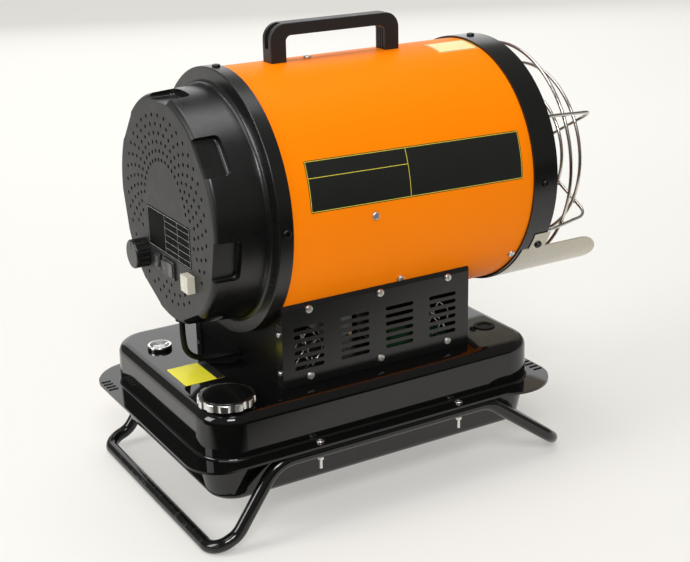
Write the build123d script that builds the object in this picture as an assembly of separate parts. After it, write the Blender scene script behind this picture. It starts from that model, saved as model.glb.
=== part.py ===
from build123d import *
import os
from math import atan2, cos, pi, radians, sin, sqrt, tan

# Infrared diesel heater: an orange drum with a black rear cover and front ring stands on a
# louvred pedestal, on a pressed steel fuel tank carried by one bent tube.
# Millimetres. +Z is up, +X points to the heat outlet, -Y is the side with the large label.
# The source's zero in X is midway between the two floor runs of the leg tube. The finished
# pieces are moved along X, so that the origin is on the floor under the middle of the whole.

# Drum
AXIS_Z = 369.0             # height of the drum's axis
DRUM_R = 158.0             # outer radius of the drum
DRUM_WALL = 1.2
DRUM_REAR = -149.2         # rear edge, inside the rear cover
DRUM_FRONT = 236.0         # front edge, inside the front ring
WIRE_PORT = (5.0, 43.0)    # opening in the drum's underside, along X
WIRE_PORT_W = 50.0

# Front ring and rear cover
BAND_T = 2.85              # how far a band stands out of the drum
BAND_FIT = 0.15            # clearance between a band and the drum
RING_REAR = 202.0
RING_FRONT = 237.5
RING_LIP = 1.2
COVER_BAND_FRONT = -134.0
COVER_BAND_REAR = -151.7
COVER_CUP_R = 141.0        # radius of the cup where it leaves the band
COVER_FACE_R = 137.0       # radius of the cup at its face
COVER_FACE_X = -218.0      # outer face of the rear cover
COVER_WALL = 2.5
COVER_EDGE_R = 7.0
COVER_STEP_R = 6.0
COVER_BAND_EDGE_R = 1.2
POCKETS = 7
POCKET_W = 50.0
POCKET_L = 31.0
POCKET_D = 8.0
GRILLE_HOLE_R = 2.4
GRILLE_ROWS = (60.0, 70.5, 81.0, 91.5, 102.0, 112.5)
GRILLE_PER_ROW = 40
GRILLE_TWIST = 4.0         # degrees that each row turns against the one inside it

# Screws
SCREW_R = 2.0
SCREW_L = 8.0
HEAD_R = 4.9
HEAD_H = 2.9
HOLE_FIT = 0.1
RING_SCREW_X = 219.0
COVER_SCREW_X = -142.5
BAND_SCREW_ANGLES = (0.0, 90.0, 180.0)
DRUM_SCREWS = ((-26.0, 0.0), (27.5, -37.0), (194.0, -37.0), (-22.0, 90.0))

# Carry handle
HANDLE_X0 = -76.0
HANDLE_X1 = 102.6
HANDLE_RISE = 45.4         # handle's top above the drum
HANDLE_TOP = AXIS_Z + DRUM_R + HANDLE_RISE
HANDLE_BAR = 14.4
HANDLE_LEG = 20.5
HANDLE_W = 21.0
HANDLE_CORNER_R = 19.0
HANDLE_INNER_R = 7.0
HANDLE_SLOT_W = 9.0
HANDLE_SLOT_L = 17.5
HANDLE_SLOT_RISE = 16.0    # slot floors above the drum
HANDLE_SLOT_FLOOR = AXIS_Z + DRUM_R + HANDLE_SLOT_RISE

# Wire guard and deflector
WIRE_R = 2.2
WELD_GAP = 0.05            # between two wires that meet at a weld
GUARD_FOOT_X = 212.0
GUARD_BEND_X = 250.0
GUARD_BAR_X = 316.5
GUARD_TIP_R = 142.0
GUARD_CORNER_R = 19.0
GUARD_ANGLES = (-27.0, 29.5)
GUARD_RING_X = 271.0
GUARD_RINGS_R = (114.5, 78.0)
SHEET_T = 1.0              # deflector sheet
DEFLECTOR_REAR = 207.0
DEFLECTOR_FRONT = 358.0
DEFLECTOR_ANGLE = -35.0
DEFLECTOR_CORNER = 58.0
TAB_REAR = 217.0
TAB_FRONT = 242.0
TAB_ANGLE = -25.5
DEFLECTOR_SCREW_X = 229.0
DEFLECTOR_SCREW_ANGLES = (-32.5, -90.0, -147.5)

# Fuel tank
TANK_X = -13.0             # centre of the tank along X
TANK_L = 466.0
TANK_W = 316.0
TANK_CORNER = 45.0
TANK_TOP = 164.0
SEAM_Z = 107.5             # where the two pressed halves meet
TANK_BOTTOM = 50.0
TANK_T = 1.5
TANK_EDGE_R = 13.0
UPPER_DRAFT = 1.5
LOWER_DRAFT = 11.0
FLANGE_END = 23.0          # flange beyond the tank's ends
FLANGE_SIDE = 19.0         # flange beyond the tank's sides
FLANGE_CORNER = 45.0
GRIP_R = 58.0              # rounded grips at two opposite corners of the flange
GRIP_OUT = 9.0             # how far a grip stands out past the flange's side
GRIP_RIBS = 4
GRIP_RIB_R = 1.3
GRIP_RIB_L = 12.0
GRIP_RIB_PITCH = 9.0
GRIP_RIB_INSET = 48.0      # first bead from the tank's side
GRIP_RIB_SINK = 0.5
ROOT_R = 3.0               # fillet between the wall and the flange

# Leg tube
LEG_R = 8.0
LEG_WALL = 1.5
LEG_FLAT = 0.4             # flat worn along the floor runs
FOOT_X = 255.5             # floor runs at plus and minus this X
RAIL_OUT = 8.5             # rails' centre beyond the tank's sides
RAIL_Y = TANK_W / 2 + RAIL_OUT
LEG_KNEE_X = -170.0        # where the left leg turns down
LEG_ANKLE = (-224.0, 20.0)
LEG_KNEE_RIGHT_X = 132.0
LEG_BENDS = (21.0, 28.0, 42.0, 45.0, 38.0)
RAIL_BOLTS_X = (-111.6, 86.7)
BOLT_R = 2.0
BOLT_HEAD_R = 4.8
BOLT_HEAD_H = 2.4
BOLT_END_Z = 75.0
NUT_H = 3.2
NUT_AF = 7.0

# Filler, cap, gauge, plug and pick-up
TANK_REAR = TANK_X - TANK_L / 2
FILLER_IN = 39.0           # from the tank's rear end and near side
FILLER_AT = (TANK_REAR + FILLER_IN, FILLER_IN - TANK_W / 2)
NECK_R = 26.0
NECK_T = 1.5
NECK_TOP = TANK_TOP + 7.0
NECK_BOTTOM = TANK_TOP - 18.0
STRAINER_BOTTOM = TANK_TOP - 64.0
GASKET_T = 1.2
CAP_R = 34.0
CAP_LOBES = 12
CAP_SCALLOP_R = 7.0
CAP_SCALLOP_DEPTH = 2.2
CAP_TOP = NECK_TOP + 5.0
CAP_WEB = 1.7
CAP_SKIRT_Z = TANK_TOP + 3.2
CAP_DISC_R = 29.2
GAUGE_IN = (41.0, 78.0)    # from the tank's rear end and far side
GAUGE_AT = (TANK_REAR + GAUGE_IN[0], TANK_W / 2 - GAUGE_IN[1])
GAUGE_R = 15.5
GAUGE_BASE_H = 3.0
GAUGE_BEZEL_H = 2.6
GAUGE_STEM_R = 9.0
GAUGE_STEM_END = TANK_TOP - 26.0
FLOAT_ARM_L = 55.0
FLOAT_R = 10.0
FLOAT_ANGLE = 50.0         # degrees below level with the tank empty
PLUG_IN = (36.5, 71.0)     # from the tank's front end and near side
PLUG_AT = (TANK_REAR + TANK_L - PLUG_IN[0], PLUG_IN[1] - TANK_W / 2)
PLUG_R = 12.0
PICKUP_AT = (24.0, -22.0)
PICKUP_R = 4.0

# Pedestal
PED_X0 = -133.6
PED_X1 = 129.7
PED_Y = 122.5              # inner face of the side covers
PED_T = 1.2
COVER_T = 1.0
SADDLE_GAP = 0.3
FOLD_IN = 1.6              # a side cover leans in by this above its fold
FOLD_DROP = 6.0            # fold below the line where the cover meets the drum
FOLD_Z = AXIS_Z - sqrt((DRUM_R + SADDLE_GAP) ** 2 - (PED_Y + COVER_T - FOLD_IN) ** 2) - FOLD_DROP
PED_FLANGE = 21.0
RAIL_H = 16.0
SIDE_SCREW_L = 6.0
SIDE_SCREWS_X = (-98.4, 0.0, 98.4)
SIDE_SCREWS_Z = (TANK_TOP + 11.0, FOLD_Z - 2.5)
RETURN_W = 15.0            # side covers turn round the pedestal's ends this far
RETURN_TOP = FOLD_Z - 17.0
RETURN_SCREWS_Z = (TANK_TOP + 19.0, RETURN_TOP - 13.0)
RETURN_HEAD_R = 3.4
SLOT_L = 40.0
SLOT_H = 5.0
SLOT_PITCH_X = 63.4
SLOT_PITCH_Z = 9.8
SLOT_GROUPS = 4
SLOT_ROWS = 6
SLOT_MID_Z = (TANK_TOP + FOLD_Z) / 2 - 1.0
SLOT_MID_X = -3.7

# Burner and air flow
SHIELD_R = 130.0
SHIELD_T = 1.0
SHIELD_REAR = 32.0
SHIELD_FRONT = 225.0
CHAMBER_R = 80.0
CHAMBER_T = 1.2
CHAMBER_REAR = 24.0
CHAMBER_FRONT = 190.0
RADIANT_X = 204.0
RADIANT_BULGE = 16.0
RADIANT_T = 1.5
RADIANT_DOME_R = 114.0
RADIANT_FIT = 0.2
RADIANT_HOLE_R = 4.6
RADIANT_HOLE_ROWS = ((24.0, 8), (46.0, 14), (68.0, 20), (90.0, 26), (121.5, 12))
BURNER_R = 38.0
BURNER_TUBE_R = 22.0
NOZZLE_R = 7.0
NOZZLE_X0 = 9.0
NOZZLE_X1 = 34.0
ELECTRODE_R = 3.0
ELECTRODE_OFF = 13.5

# Motor, fan and pump
MOTOR_R = 42.0
MOTOR_REAR = -120.0
MOTOR_FRONT = -42.0
ARMATURE_R = 24.5
SHAFT_R = 5.0
RUN_FIT = 0.05             # running clearance of the shaft
SHAFT_FRONT = -2.0
FAN_R = 117.0
FAN_HUB_R = 21.0
FAN_X0 = -34.0
FAN_X1 = -6.0
FAN_BLADES = 5
FAN_PITCH = 32.0
PUMP_R = 38.0
PUMP_L = 30.0
PUMP_BORE = 26.6
PUMP_OFFSET = 2.0
PUMP_ROTOR_R = 24.0
PUMP_COVER_L = 22.0
BRACKET_X = (-108.0, -60.0)
BRACKET_W = 56.0

# Electrical boxes in the pedestal
TRANSFORMER = (62.0, 52.0, 38.0)
TRANSFORMER_AT = (-88.0, -66.0)
BOARD = (96.0, 70.0, 1.6)
BOARD_AT = (70.0, -69.0)
STANDOFF_H = 6.0

# Controls on the rear face, as (y, z)
KNOB_AT = (72.0, 298.5)
KNOB_R = 18.2
KNOB_L = 17.5
KNOB_GROOVES = 16
KNOB_GROOVE_R = 2.2
KNOB_GROOVE_DEPTH = 1.3
KNOB_GAP = 0.8
SPINDLE_R = 3.0
SMALL_ROCKER_AT = (28.5, 299.5)
SMALL_ROCKER = (17.0, 21.0)
LARGE_ROCKER_AT = (-4.0, 298.5)
LARGE_ROCKER = (32.0, 23.0)
ROCKER_FRAME_H = 2.4
ROCKER_RIM = 2.0           # part of the frame that covers the edge of the cut-out
ROCKER_WALL = 1.0
ROCKER_CORNER = 1.2
ROCKER_HOLLOW = 8.0        # depth of the hollow behind the frame's front
ROCKER_PIVOT = 1.3         # pivot's depth behind the frame's front
ROCKER_PIN_R = 0.8
ROCKER_PIN_L = 0.8
ROCKER_ABOVE = 2.4
ROCKER_BELOW = 2.2
ROCKER_END_GAP = 0.9
ROCKER_SIDE_GAP = 0.3
ROCKER_TILT = 7.0          # tilt to each side of level
ROCKER_DEPTH = 20.0
BUTTON_AT = (-64.0, 298.0)
BUTTON = (19.0, 20.5)
BUTTON_OUT = 10.0
BUTTON_TRAVEL = 3.5
BUTTON_FIT = 0.3

# Held lead and hoses
LEAD_R = 3.6
LEAD_EXIT_X = -206.0
GROMMET_T = 2.2
LEAD_TOP_Z = AXIS_Z - COVER_FACE_R - 3.2
LEAD_END_Y = -4.0
LEAD_END_Z = TANK_TOP + PED_T + LEAD_R + GROMMET_T + 1.0
HOSE_R = 3.2


# Shared helpers
def cyl_x(r, x0, x1, y=0.0, z=AXIS_Z):
    """Cylinder along X."""
    return Pos((x0 + x1) / 2, y, z) * Rot(0, 90, 0) * Cylinder(r, x1 - x0)


def tube_x(r_out, r_in, x0, x1, y=0.0, z=AXIS_Z):
    """Tube along X."""
    return cyl_x(r_out, x0, x1, y, z) - cyl_x(r_in, x0 - 1, x1 + 1, y, z)


def cyl_z(r, z0, z1, x, y):
    """Cylinder along Z."""
    return Pos(x, y, (z0 + z1) / 2) * Cylinder(r, z1 - z0)


def block(x0, x1, y0, y1, z0, z1):
    """Box between two corners."""
    return Pos((x0 + x1) / 2, (y0 + y1) / 2, (z0 + z1) / 2) * Box(x1 - x0, y1 - y0, z1 - z0)


def around(angle):
    """Turn about the drum's axis; 0 points to -Y and 90 points up."""
    return Pos(0, 0, AXIS_Z) * Rot(-angle, 0, 0)


def radial(x, angle, r):
    """Frame on a cylinder about the drum's axis, with its Z pointing away from the axis."""
    return around(angle) * Pos(x, -r, 0) * Rot(90, 0, 0)


def pan_screw(length, shank_r=SCREW_R, head_r=HEAD_R, head_h=HEAD_H):
    """Pan-head screw along Z, its head above the XY plane, with a cross recess."""
    head = Pos(0, 0, head_h / 2) * Cylinder(head_r, head_h)
    head = fillet(head.edges().group_by(Axis.Z)[-1], head_h * 0.55)
    arm = head_r * 1.1
    for turn in (0, 90):
        head -= Pos(0, 0, head_h) * Rot(0, 0, turn) * Box(arm, head_r * 0.22, head_h)
    return head + Pos(0, 0, -length / 2 + 0.01) * Cylinder(shank_r, length)


def pierced(solid, frames, hole_r, depth):
    """Drill one hole along Z of each frame."""
    for frame in frames:
        solid -= frame * Cylinder(hole_r, depth)
    return solid


def hose(points, r, label):
    """Round hose: straight runs joined by arcs as wide as the two runs allow."""
    corners = [Vector(*p) for p in points]
    radii = []
    for a, b, c in zip(corners, corners[1:], corners[2:]):
        turn = radians((b - a).get_angle(c - b))
        radii.append(0.45 * min((b - a).length, (c - b).length) / tan(turn / 2))
    path = FilletPolyline(*corners, radius=radii)
    start = Plane(origin=path @ 0, z_dir=path % 0)
    solid = sweep(start * Circle(r), path=path)
    section = pi * r * r * path.length
    print(label, "bend radii", [round(v, 1) for v in radii], "volume against section x length",
          round(solid.volume / section, 4))
    return solid


# Places of the screws that hold the bands, drum and covers
def ring_screw_frames():
    return [radial(RING_SCREW_X, a, DRUM_R + BAND_T) for a in BAND_SCREW_ANGLES]


def cover_screw_frames():
    return [radial(COVER_SCREW_X, a, DRUM_R + BAND_T) for a in BAND_SCREW_ANGLES + (270.0,)]


def drum_screw_frames():
    return [radial(x, a, DRUM_R) for x, a in DRUM_SCREWS]


def deflector_screw_frames():
    r = DRUM_R + BAND_T + BAND_FIT + SHEET_T
    return [radial(DEFLECTOR_SCREW_X, a, r) for a in DEFLECTOR_SCREW_ANGLES]


def handle_screw_xs():
    inset = HANDLE_SLOT_L / 2
    return (HANDLE_X0 + inset, HANDLE_X1 - inset)


# Drum group
def drum_shell():
    """Rolled steel drum with a port for hoses in its underside."""
    shell = tube_x(DRUM_R, DRUM_R - DRUM_WALL, DRUM_REAR, DRUM_FRONT)
    shell -= block(WIRE_PORT[0], WIRE_PORT[1], -WIRE_PORT_W / 2, WIRE_PORT_W / 2,
                   AXIS_Z - DRUM_R - 5, AXIS_Z - DRUM_R / 2)
    hole = SCREW_R + HOLE_FIT
    frames = ring_screw_frames() + cover_screw_frames() + drum_screw_frames()
    shell = pierced(shell, frames + deflector_screw_frames(), hole, 16)
    for x in handle_screw_xs():
        shell -= cyl_z(hole, AXIS_Z + DRUM_R - 10, AXIS_Z + DRUM_R + 5, x, 0)
    return shell


def front_ring():
    """Black band round the outlet, turned in over the drum's edge."""
    ring = tube_x(DRUM_R + BAND_T, DRUM_R + BAND_FIT, RING_REAR, RING_FRONT)
    ring = fillet(ring.edges().filter_by(GeomType.CIRCLE).group_by(Axis.X)[-1][-1:], 1.2)
    ring += tube_x(DRUM_R + 1, DRUM_R - DRUM_WALL + BAND_FIT, DRUM_FRONT + BAND_FIT, RING_FRONT)
    frames = ring_screw_frames() + deflector_screw_frames()
    return pierced(ring, frames, SCREW_R + HOLE_FIT, 12)


def round_corner(face, at, r):
    """Rounds the corner of a flat face that is nearest to a point."""
    return fillet(face.vertices().sort_by_distance((*at, 0))[0], r)


def cover_profile(inset):
    """Half section of the rear cover in X and radius, drawn in by the wall for the inside."""
    face = COVER_FACE_X + inset
    band_rear = COVER_BAND_REAR + inset
    cup = COVER_CUP_R - inset
    top = DRUM_R + (BAND_T if inset == 0 else BAND_FIT)
    front = COVER_BAND_FRONT + (0 if inset == 0 else 1)
    face_r = COVER_FACE_R - inset
    profile = make_face(Polyline((front, 0), (front, top), (band_rear, top), (band_rear, cup),
                                 (face, face_r), (face, 0), (front, 0)))
    profile = round_corner(profile, (band_rear, cup), COVER_STEP_R + inset)
    profile = round_corner(profile, (face, face_r), COVER_EDGE_R - inset)
    if inset == 0:
        profile = round_corner(profile, (band_rear, top), COVER_BAND_EDGE_R)
    return profile


def cover_solid(inset):
    """Revolved body of the rear cover, full for the outside and smaller for the inside."""
    body = revolve(cover_profile(inset), axis=Axis.X)
    return Pos(0, 0, AXIS_Z) * body


def pocket(angle, grow):
    """Rounded pocket cut into the cup's rim from the rear face."""
    length = POCKET_L + grow
    width = POCKET_W + 2 * grow
    tall = 30.0
    bottom = COVER_FACE_R - POCKET_D - grow
    body = Pos(COVER_FACE_X - 5 + (length + 5) / 2, 0, tall / 2) * Box(length + 5, width, tall)
    deep = body.edges().filter_by(Axis.Z).group_by(Axis.X)[-1]
    body = fillet(deep, 6.0)
    low = body.faces().sort_by(Axis.Z)[0].edges().filter_by(
        lambda e: e.center().X > COVER_FACE_X - 4.9)
    body = fillet(low, 3.0)
    return around(angle) * Rot(90, 0, 0) * Pos(0, 0, bottom) * body


def pocket_angles():
    return [90.0 - i * 360.0 / POCKETS for i in range(POCKETS)]


def control_cut(at, size, depth=12.0):
    y, z = at
    return Pos(COVER_FACE_X, y, z) * Box(depth, size[0], size[1])


def grille_points():
    """Hole centres on the rear face as (y, z), leaving the controls and plate free."""
    spots = []
    for row, r in enumerate(GRILLE_ROWS):
        for i in range(GRILLE_PER_ROW):
            a = radians(i * 360.0 / GRILLE_PER_ROW + row * GRILLE_TWIST)
            y, z = -r * cos(a), r * sin(a)
            plate = -76 < y < 66 and -64 < z < 4
            controls = -84 < y < 94 and -90 < z < -40
            if not (plate or controls):
                spots.append((y, z))
    return spots


def rear_cover():
    """Moulded rear cover with rim pockets, an air grille and cut-outs for the controls."""
    outside = cover_solid(0)
    inside = cover_solid(COVER_WALL)
    for a in pocket_angles():
        outside -= pocket(a, 0)
        inside -= pocket(a, COVER_WALL)
    cover = outside - inside
    drum_bore = cyl_x(DRUM_R + BAND_FIT, DRUM_REAR - BAND_FIT, COVER_BAND_FRONT + 1)
    cover -= drum_bore
    holes = [Pos(COVER_FACE_X + COVER_WALL / 2, y, AXIS_Z + z) * Rot(0, 90, 0)
             * Cylinder(GRILLE_HOLE_R, COVER_WALL * 3) for y, z in grille_points()]
    cover -= holes
    for at, size in ((SMALL_ROCKER_AT, SMALL_ROCKER), (LARGE_ROCKER_AT, LARGE_ROCKER)):
        cover -= control_cut(at, [side - 2 * (ROCKER_RIM - HOLE_FIT) for side in size])
    button_cut = (BUTTON[0] + 2 * BUTTON_FIT, BUTTON[1] + 2 * BUTTON_FIT)
    cover -= control_cut(BUTTON_AT, button_cut)
    y, z = KNOB_AT
    cover -= cyl_x(SPINDLE_R + 1, COVER_FACE_X - 5, COVER_FACE_X + 5, y, z)
    cover -= cyl_z(LEAD_R + GROMMET_T, AXIS_Z - COVER_CUP_R - 5, AXIS_Z - COVER_FACE_R + 12,
                   LEAD_EXIT_X, 0)
    cover = pierced(cover, cover_screw_frames(), SCREW_R + HOLE_FIT, 12)
    return cover


def drum_screws():
    """Bright screws in the drum wall."""
    return [f * pan_screw(SCREW_L) for f in drum_screw_frames()]


def ring_screws():
    """Black screws of the rear cover, the front ring and the deflector."""
    frames = ring_screw_frames() + cover_screw_frames() + deflector_screw_frames()
    return [f * pan_screw(SCREW_L) for f in frames]


# Handle
def carry_handle():
    """Bridge handle, open in a deep slot at each end, ribbed inside its legs."""
    bottom = AXIS_Z + DRUM_R - 8
    outer = block(HANDLE_X0, HANDLE_X1, -HANDLE_W / 2, HANDLE_W / 2, bottom, HANDLE_TOP)
    outer = fillet(outer.edges().filter_by(Axis.Y).group_by(Axis.Z)[-1], HANDLE_CORNER_R)
    x0, x1 = HANDLE_X0 + HANDLE_LEG, HANDLE_X1 - HANDLE_LEG
    gap = block(x0, x1, -HANDLE_W, HANDLE_W, bottom - 5, HANDLE_TOP - HANDLE_BAR)
    gap = fillet(gap.edges().filter_by(Axis.Y).group_by(Axis.Z)[-1], HANDLE_INNER_R)
    body = outer - gap
    body = fillet(body.edges().filter_by(Axis.X).group_by(Axis.Z)[-1], 1.2)
    half = HANDLE_SLOT_W / 2
    for xa, xb in ((HANDLE_X0 - 1, HANDLE_X0 + HANDLE_SLOT_L),
                   (HANDLE_X1 - HANDLE_SLOT_L, HANDLE_X1 + 1)):
        body -= block(xa, xb, -half, half, HANDLE_SLOT_FLOOR, HANDLE_TOP + 1)
    rib_pitch = HANDLE_W / 4
    for i in (-1, 0, 1):
        y = i * rib_pitch
        for xa, xb in ((x0 - 1.6, x0 + 1), (x1 - 1, x1 + 1.6)):
            body -= block(xa, xb, y - 1.2, y + 1.2, bottom, HANDLE_TOP - HANDLE_BAR - 4)
    body -= cyl_x(DRUM_R + BAND_FIT, HANDLE_X0 - 5, HANDLE_X1 + 5)
    for x in handle_screw_xs():
        body -= cyl_z(SCREW_R + HOLE_FIT, bottom - 5, HANDLE_SLOT_FLOOR + 1, x, 0)
    return body


def handle_screws():
    """Screws at the bottom of the handle's two slots."""
    length = HANDLE_SLOT_FLOOR - (AXIS_Z + DRUM_R) + 8
    screw = pan_screw(length, head_r=HANDLE_SLOT_W / 2 - 0.4)
    return [Pos(x, 0, HANDLE_SLOT_FLOOR) * screw for x in handle_screw_xs()]


# Wire guard and deflector
def guard_hoop(x, r):
    return Pos(x, 0, AXIS_Z) * Rot(0, 90, 0) * Torus(r, WIRE_R)


def guard_foot_r():
    """Distance of a bow's feet from the drum's axis, just inside the drum wall."""
    return DRUM_R - DRUM_WALL - WIRE_R - 0.1


def guard_bow(angle, bar_x):
    """One wire that runs out along the drum, across the outlet and back."""
    foot_r = guard_foot_r()
    line = FilletPolyline((GUARD_FOOT_X, -foot_r), (GUARD_BEND_X, -foot_r), (bar_x, -GUARD_TIP_R),
                          (bar_x, GUARD_TIP_R), (GUARD_BEND_X, foot_r), (GUARD_FOOT_X, foot_r),
                          radius=[GUARD_CORNER_R * 2, GUARD_CORNER_R, GUARD_CORNER_R,
                                  GUARD_CORNER_R * 2])
    bow = sweep(Plane(origin=line @ 0, z_dir=line % 0) * Circle(WIRE_R), path=line)
    return around(angle) * bow


def guard_bows():
    """Two bent wires of the guard that cross in front of the outlet."""
    crossing = GUARD_BAR_X + 2 * WIRE_R + WELD_GAP
    return [guard_bow(GUARD_ANGLES[0], GUARD_BAR_X), guard_bow(GUARD_ANGLES[1], crossing)]


def guard_hoops():
    """Three hoops welded inside the bows: one round their sides and two behind their bars."""
    touch = 2 * WIRE_R + WELD_GAP
    foot_r = guard_foot_r()
    share = (GUARD_RING_X - GUARD_BEND_X) / (GUARD_BAR_X - GUARD_BEND_X)
    slope = atan2(foot_r - GUARD_TIP_R, GUARD_BAR_X - GUARD_BEND_X)
    bow_r = foot_r + (GUARD_TIP_R - foot_r) * share
    side_hoop = guard_hoop(GUARD_RING_X, bow_r - touch / cos(slope))
    return [side_hoop] + [guard_hoop(GUARD_BAR_X - touch, r) for r in GUARD_RINGS_R]


def heat_deflector():
    """Curved stainless sheet under the outlet, with a screwed tab on each side."""
    r_in = DRUM_R + BAND_T + BAND_FIT
    r_out = r_in + SHEET_T
    sheet = tube_x(r_out, r_in, DEFLECTOR_REAR, DEFLECTOR_FRONT)
    half = r_out * cos(radians(DEFLECTOR_ANGLE))
    mid = (DEFLECTOR_REAR + DEFLECTOR_FRONT) / 2
    plan = Pos(mid, 0, 0) * Rectangle(DEFLECTOR_FRONT - DEFLECTOR_REAR, 2 * half)
    plan = fillet(plan.vertices().group_by(Axis.X)[-1], DEFLECTOR_CORNER)
    tab_half = r_out * cos(radians(TAB_ANGLE))
    plan += Pos((TAB_REAR + TAB_FRONT) / 2, 0, 0) * Rectangle(TAB_FRONT - TAB_REAR, 2 * tab_half)
    low = AXIS_Z - r_out - 1
    column = Pos(0, 0, low) * extrude(plan, r_out + 1 + r_out * sin(radians(TAB_ANGLE)))
    return pierced(sheet & column, deflector_screw_frames(), SCREW_R + HOLE_FIT, 8)


# Tank group
def tank_plan(grow):
    return Pos(TANK_X, 0, 0) * RectangleRounded(TANK_L + 2 * grow, TANK_W + 2 * grow,
                                                TANK_CORNER + grow)


def flange_plan():
    """Outline of the seam flange, with a wider grip at two opposite corners."""
    length, width = TANK_L + 2 * FLANGE_END, TANK_W + 2 * FLANGE_SIDE
    plan = Pos(TANK_X, 0, 0) * RectangleRounded(length, width, FLANGE_CORNER)
    gx, gy = length / 2 - GRIP_R, width / 2 + GRIP_OUT - GRIP_R
    for side in (1, -1):
        plan += Pos(TANK_X - side * gx, side * gy, 0) * Circle(GRIP_R)
        plan += Pos(TANK_X - side * gx, side * gy * 0.8, 0) * Circle(GRIP_R)
    return plan


def tank_press(height, draft, grow, edge_r):
    """One pressed half as a full solid on the XY plane, its far edge rounded."""
    body = extrude(tank_plan(grow), height, taper=draft)
    return fillet(body.faces().sort_by(Axis.Z)[-1].edges(), edge_r)


def rail_bolt_spots():
    return [(x, side * RAIL_Y) for x in RAIL_BOLTS_X for side in (-1, 1)]


def tank_upper_shell():
    """Upper pressing, with its openings and its half of the flange."""
    outer = tank_press(TANK_TOP - SEAM_Z, UPPER_DRAFT, 0, TANK_EDGE_R)
    inner = tank_press(TANK_TOP - SEAM_Z - TANK_T, UPPER_DRAFT, -TANK_T, TANK_EDGE_R - TANK_T)
    shell = outer + extrude(flange_plan(), TANK_T)
    root = shell.edges().filter_by(lambda e: abs(e.center().Z - TANK_T) < 0.01
                                   and in_tank_wall(e.center()))
    shell = fillet(root, ROOT_R)
    shell = Pos(0, 0, SEAM_Z) * (shell - inner)
    for (x, y), r in ((FILLER_AT, NECK_R), (GAUGE_AT, GAUGE_STEM_R + HOLE_FIT), (PLUG_AT, PLUG_R),
                      (PICKUP_AT, PICKUP_R + HOLE_FIT)):
        shell -= cyl_z(r, TANK_TOP - 8, TANK_TOP + 3, x, y)
    for x, y in rail_bolt_spots():
        shell -= cyl_z(BOLT_R + HOLE_FIT, SEAM_Z - 5, SEAM_Z + 5, x, y)
    return shell + grip_ribs()


def in_tank_wall(p):
    """True for a point close to the tank's wall, not on the flange's rim."""
    return (abs(p.X - TANK_X) < TANK_L / 2 + 1) and (abs(p.Y) < TANK_W / 2 + 1)


def grip_ribs():
    """Raised beads across the end flanges at the two grips."""
    top = SEAM_Z + TANK_T
    mid_x = TANK_L / 2 + FLANGE_END / 2 + 3
    beads = []
    for side in (1, -1):
        for i in range(GRIP_RIBS):
            y = side * (TANK_W / 2 - GRIP_RIB_INSET + i * GRIP_RIB_PITCH)
            bead = Pos(TANK_X - side * mid_x, y, top) * Rot(0, 90, 0) * Cylinder(
                GRIP_RIB_R, GRIP_RIB_L)
            beads.append(bead & block(-TANK_L, TANK_L, -TANK_W, TANK_W, top - GRIP_RIB_SINK,
                                      top + GRIP_RIB_R))
    total = beads[0]
    for bead in beads[1:]:
        total += bead
    return total


def tank_lower_shell():
    """Lower pressing, drawn in towards its bottom, with its half of the flange."""
    outer = tank_press(SEAM_Z - TANK_BOTTOM, LOWER_DRAFT, 0, TANK_EDGE_R)
    inner = tank_press(SEAM_Z - TANK_BOTTOM - TANK_T, LOWER_DRAFT, -TANK_T, TANK_EDGE_R - TANK_T)
    shell = outer + extrude(flange_plan(), TANK_T) - inner
    shell = Pos(0, 0, SEAM_Z) * mirror(shell, about=Plane.XY)
    for x, y in rail_bolt_spots():
        shell -= cyl_z(BOLT_R + HOLE_FIT, SEAM_Z - 5, SEAM_Z + 5, x, y)
    return shell


def leg_frame():
    """One bent tube: two rails under the flange and two runs on the floor."""
    floor_z = LEG_R - LEG_FLAT
    rail_z = SEAM_Z - TANK_T - LEG_R
    y = -RAIL_Y
    points = [(-FOOT_X, 0, floor_z), (-FOOT_X, y, floor_z), (LEG_ANKLE[0], y, LEG_ANKLE[1]),
              (LEG_KNEE_X, y, rail_z), (LEG_KNEE_RIGHT_X, y, rail_z), (FOOT_X, y, floor_z),
              (FOOT_X, 0, floor_z)]
    path = FilletPolyline(*points, radius=list(LEG_BENDS))
    start = Plane(origin=path @ 0, z_dir=path % 0)
    outside, bore = [sweep(start * Circle(r), path=path) for r in (LEG_R, LEG_R - LEG_WALL)]
    outside &= block(-2 * FOOT_X, 2 * FOOT_X, -2 * RAIL_Y, 2 * RAIL_Y, 0, SEAM_Z)
    frame = outside + mirror(outside, about=Plane.XZ)
    frame -= bore + mirror(bore, about=Plane.XZ)
    for x, yy in rail_bolt_spots():
        frame -= cyl_z(BOLT_R + HOLE_FIT, rail_z - 20, rail_z + 20, x, yy)
    return frame


def flange_bolts():
    """Bolts through the flange and the leg rails."""
    top = SEAM_Z + TANK_T
    bolt = pan_screw(top - BOLT_END_Z, shank_r=BOLT_R, head_r=BOLT_HEAD_R,
                     head_h=BOLT_HEAD_H)
    return [Pos(x, y, top) * bolt for x, y in rail_bolt_spots()]


def flange_nuts():
    """Hexagon nuts under the leg rails."""
    top = SEAM_Z - TANK_T - 2 * LEG_R
    nut = extrude(RegularPolygon(NUT_AF / 2, 6, major_radius=False), NUT_H)
    nut = nut - Cylinder(BOLT_R + HOLE_FIT / 2, 3 * NUT_H)
    return [Pos(x, y, top - NUT_H) * nut for x, y in rail_bolt_spots()]


# Filler and cap
def filler_neck():
    """Tube in the tank's top that the cap closes."""
    x, y = FILLER_AT
    neck = cyl_z(NECK_R, NECK_BOTTOM, NECK_TOP, x, y)
    return neck - cyl_z(NECK_R - NECK_T, NECK_BOTTOM - 1, NECK_TOP + 1, x, y)


def strainer_top():
    return NECK_TOP - 13.0


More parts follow.
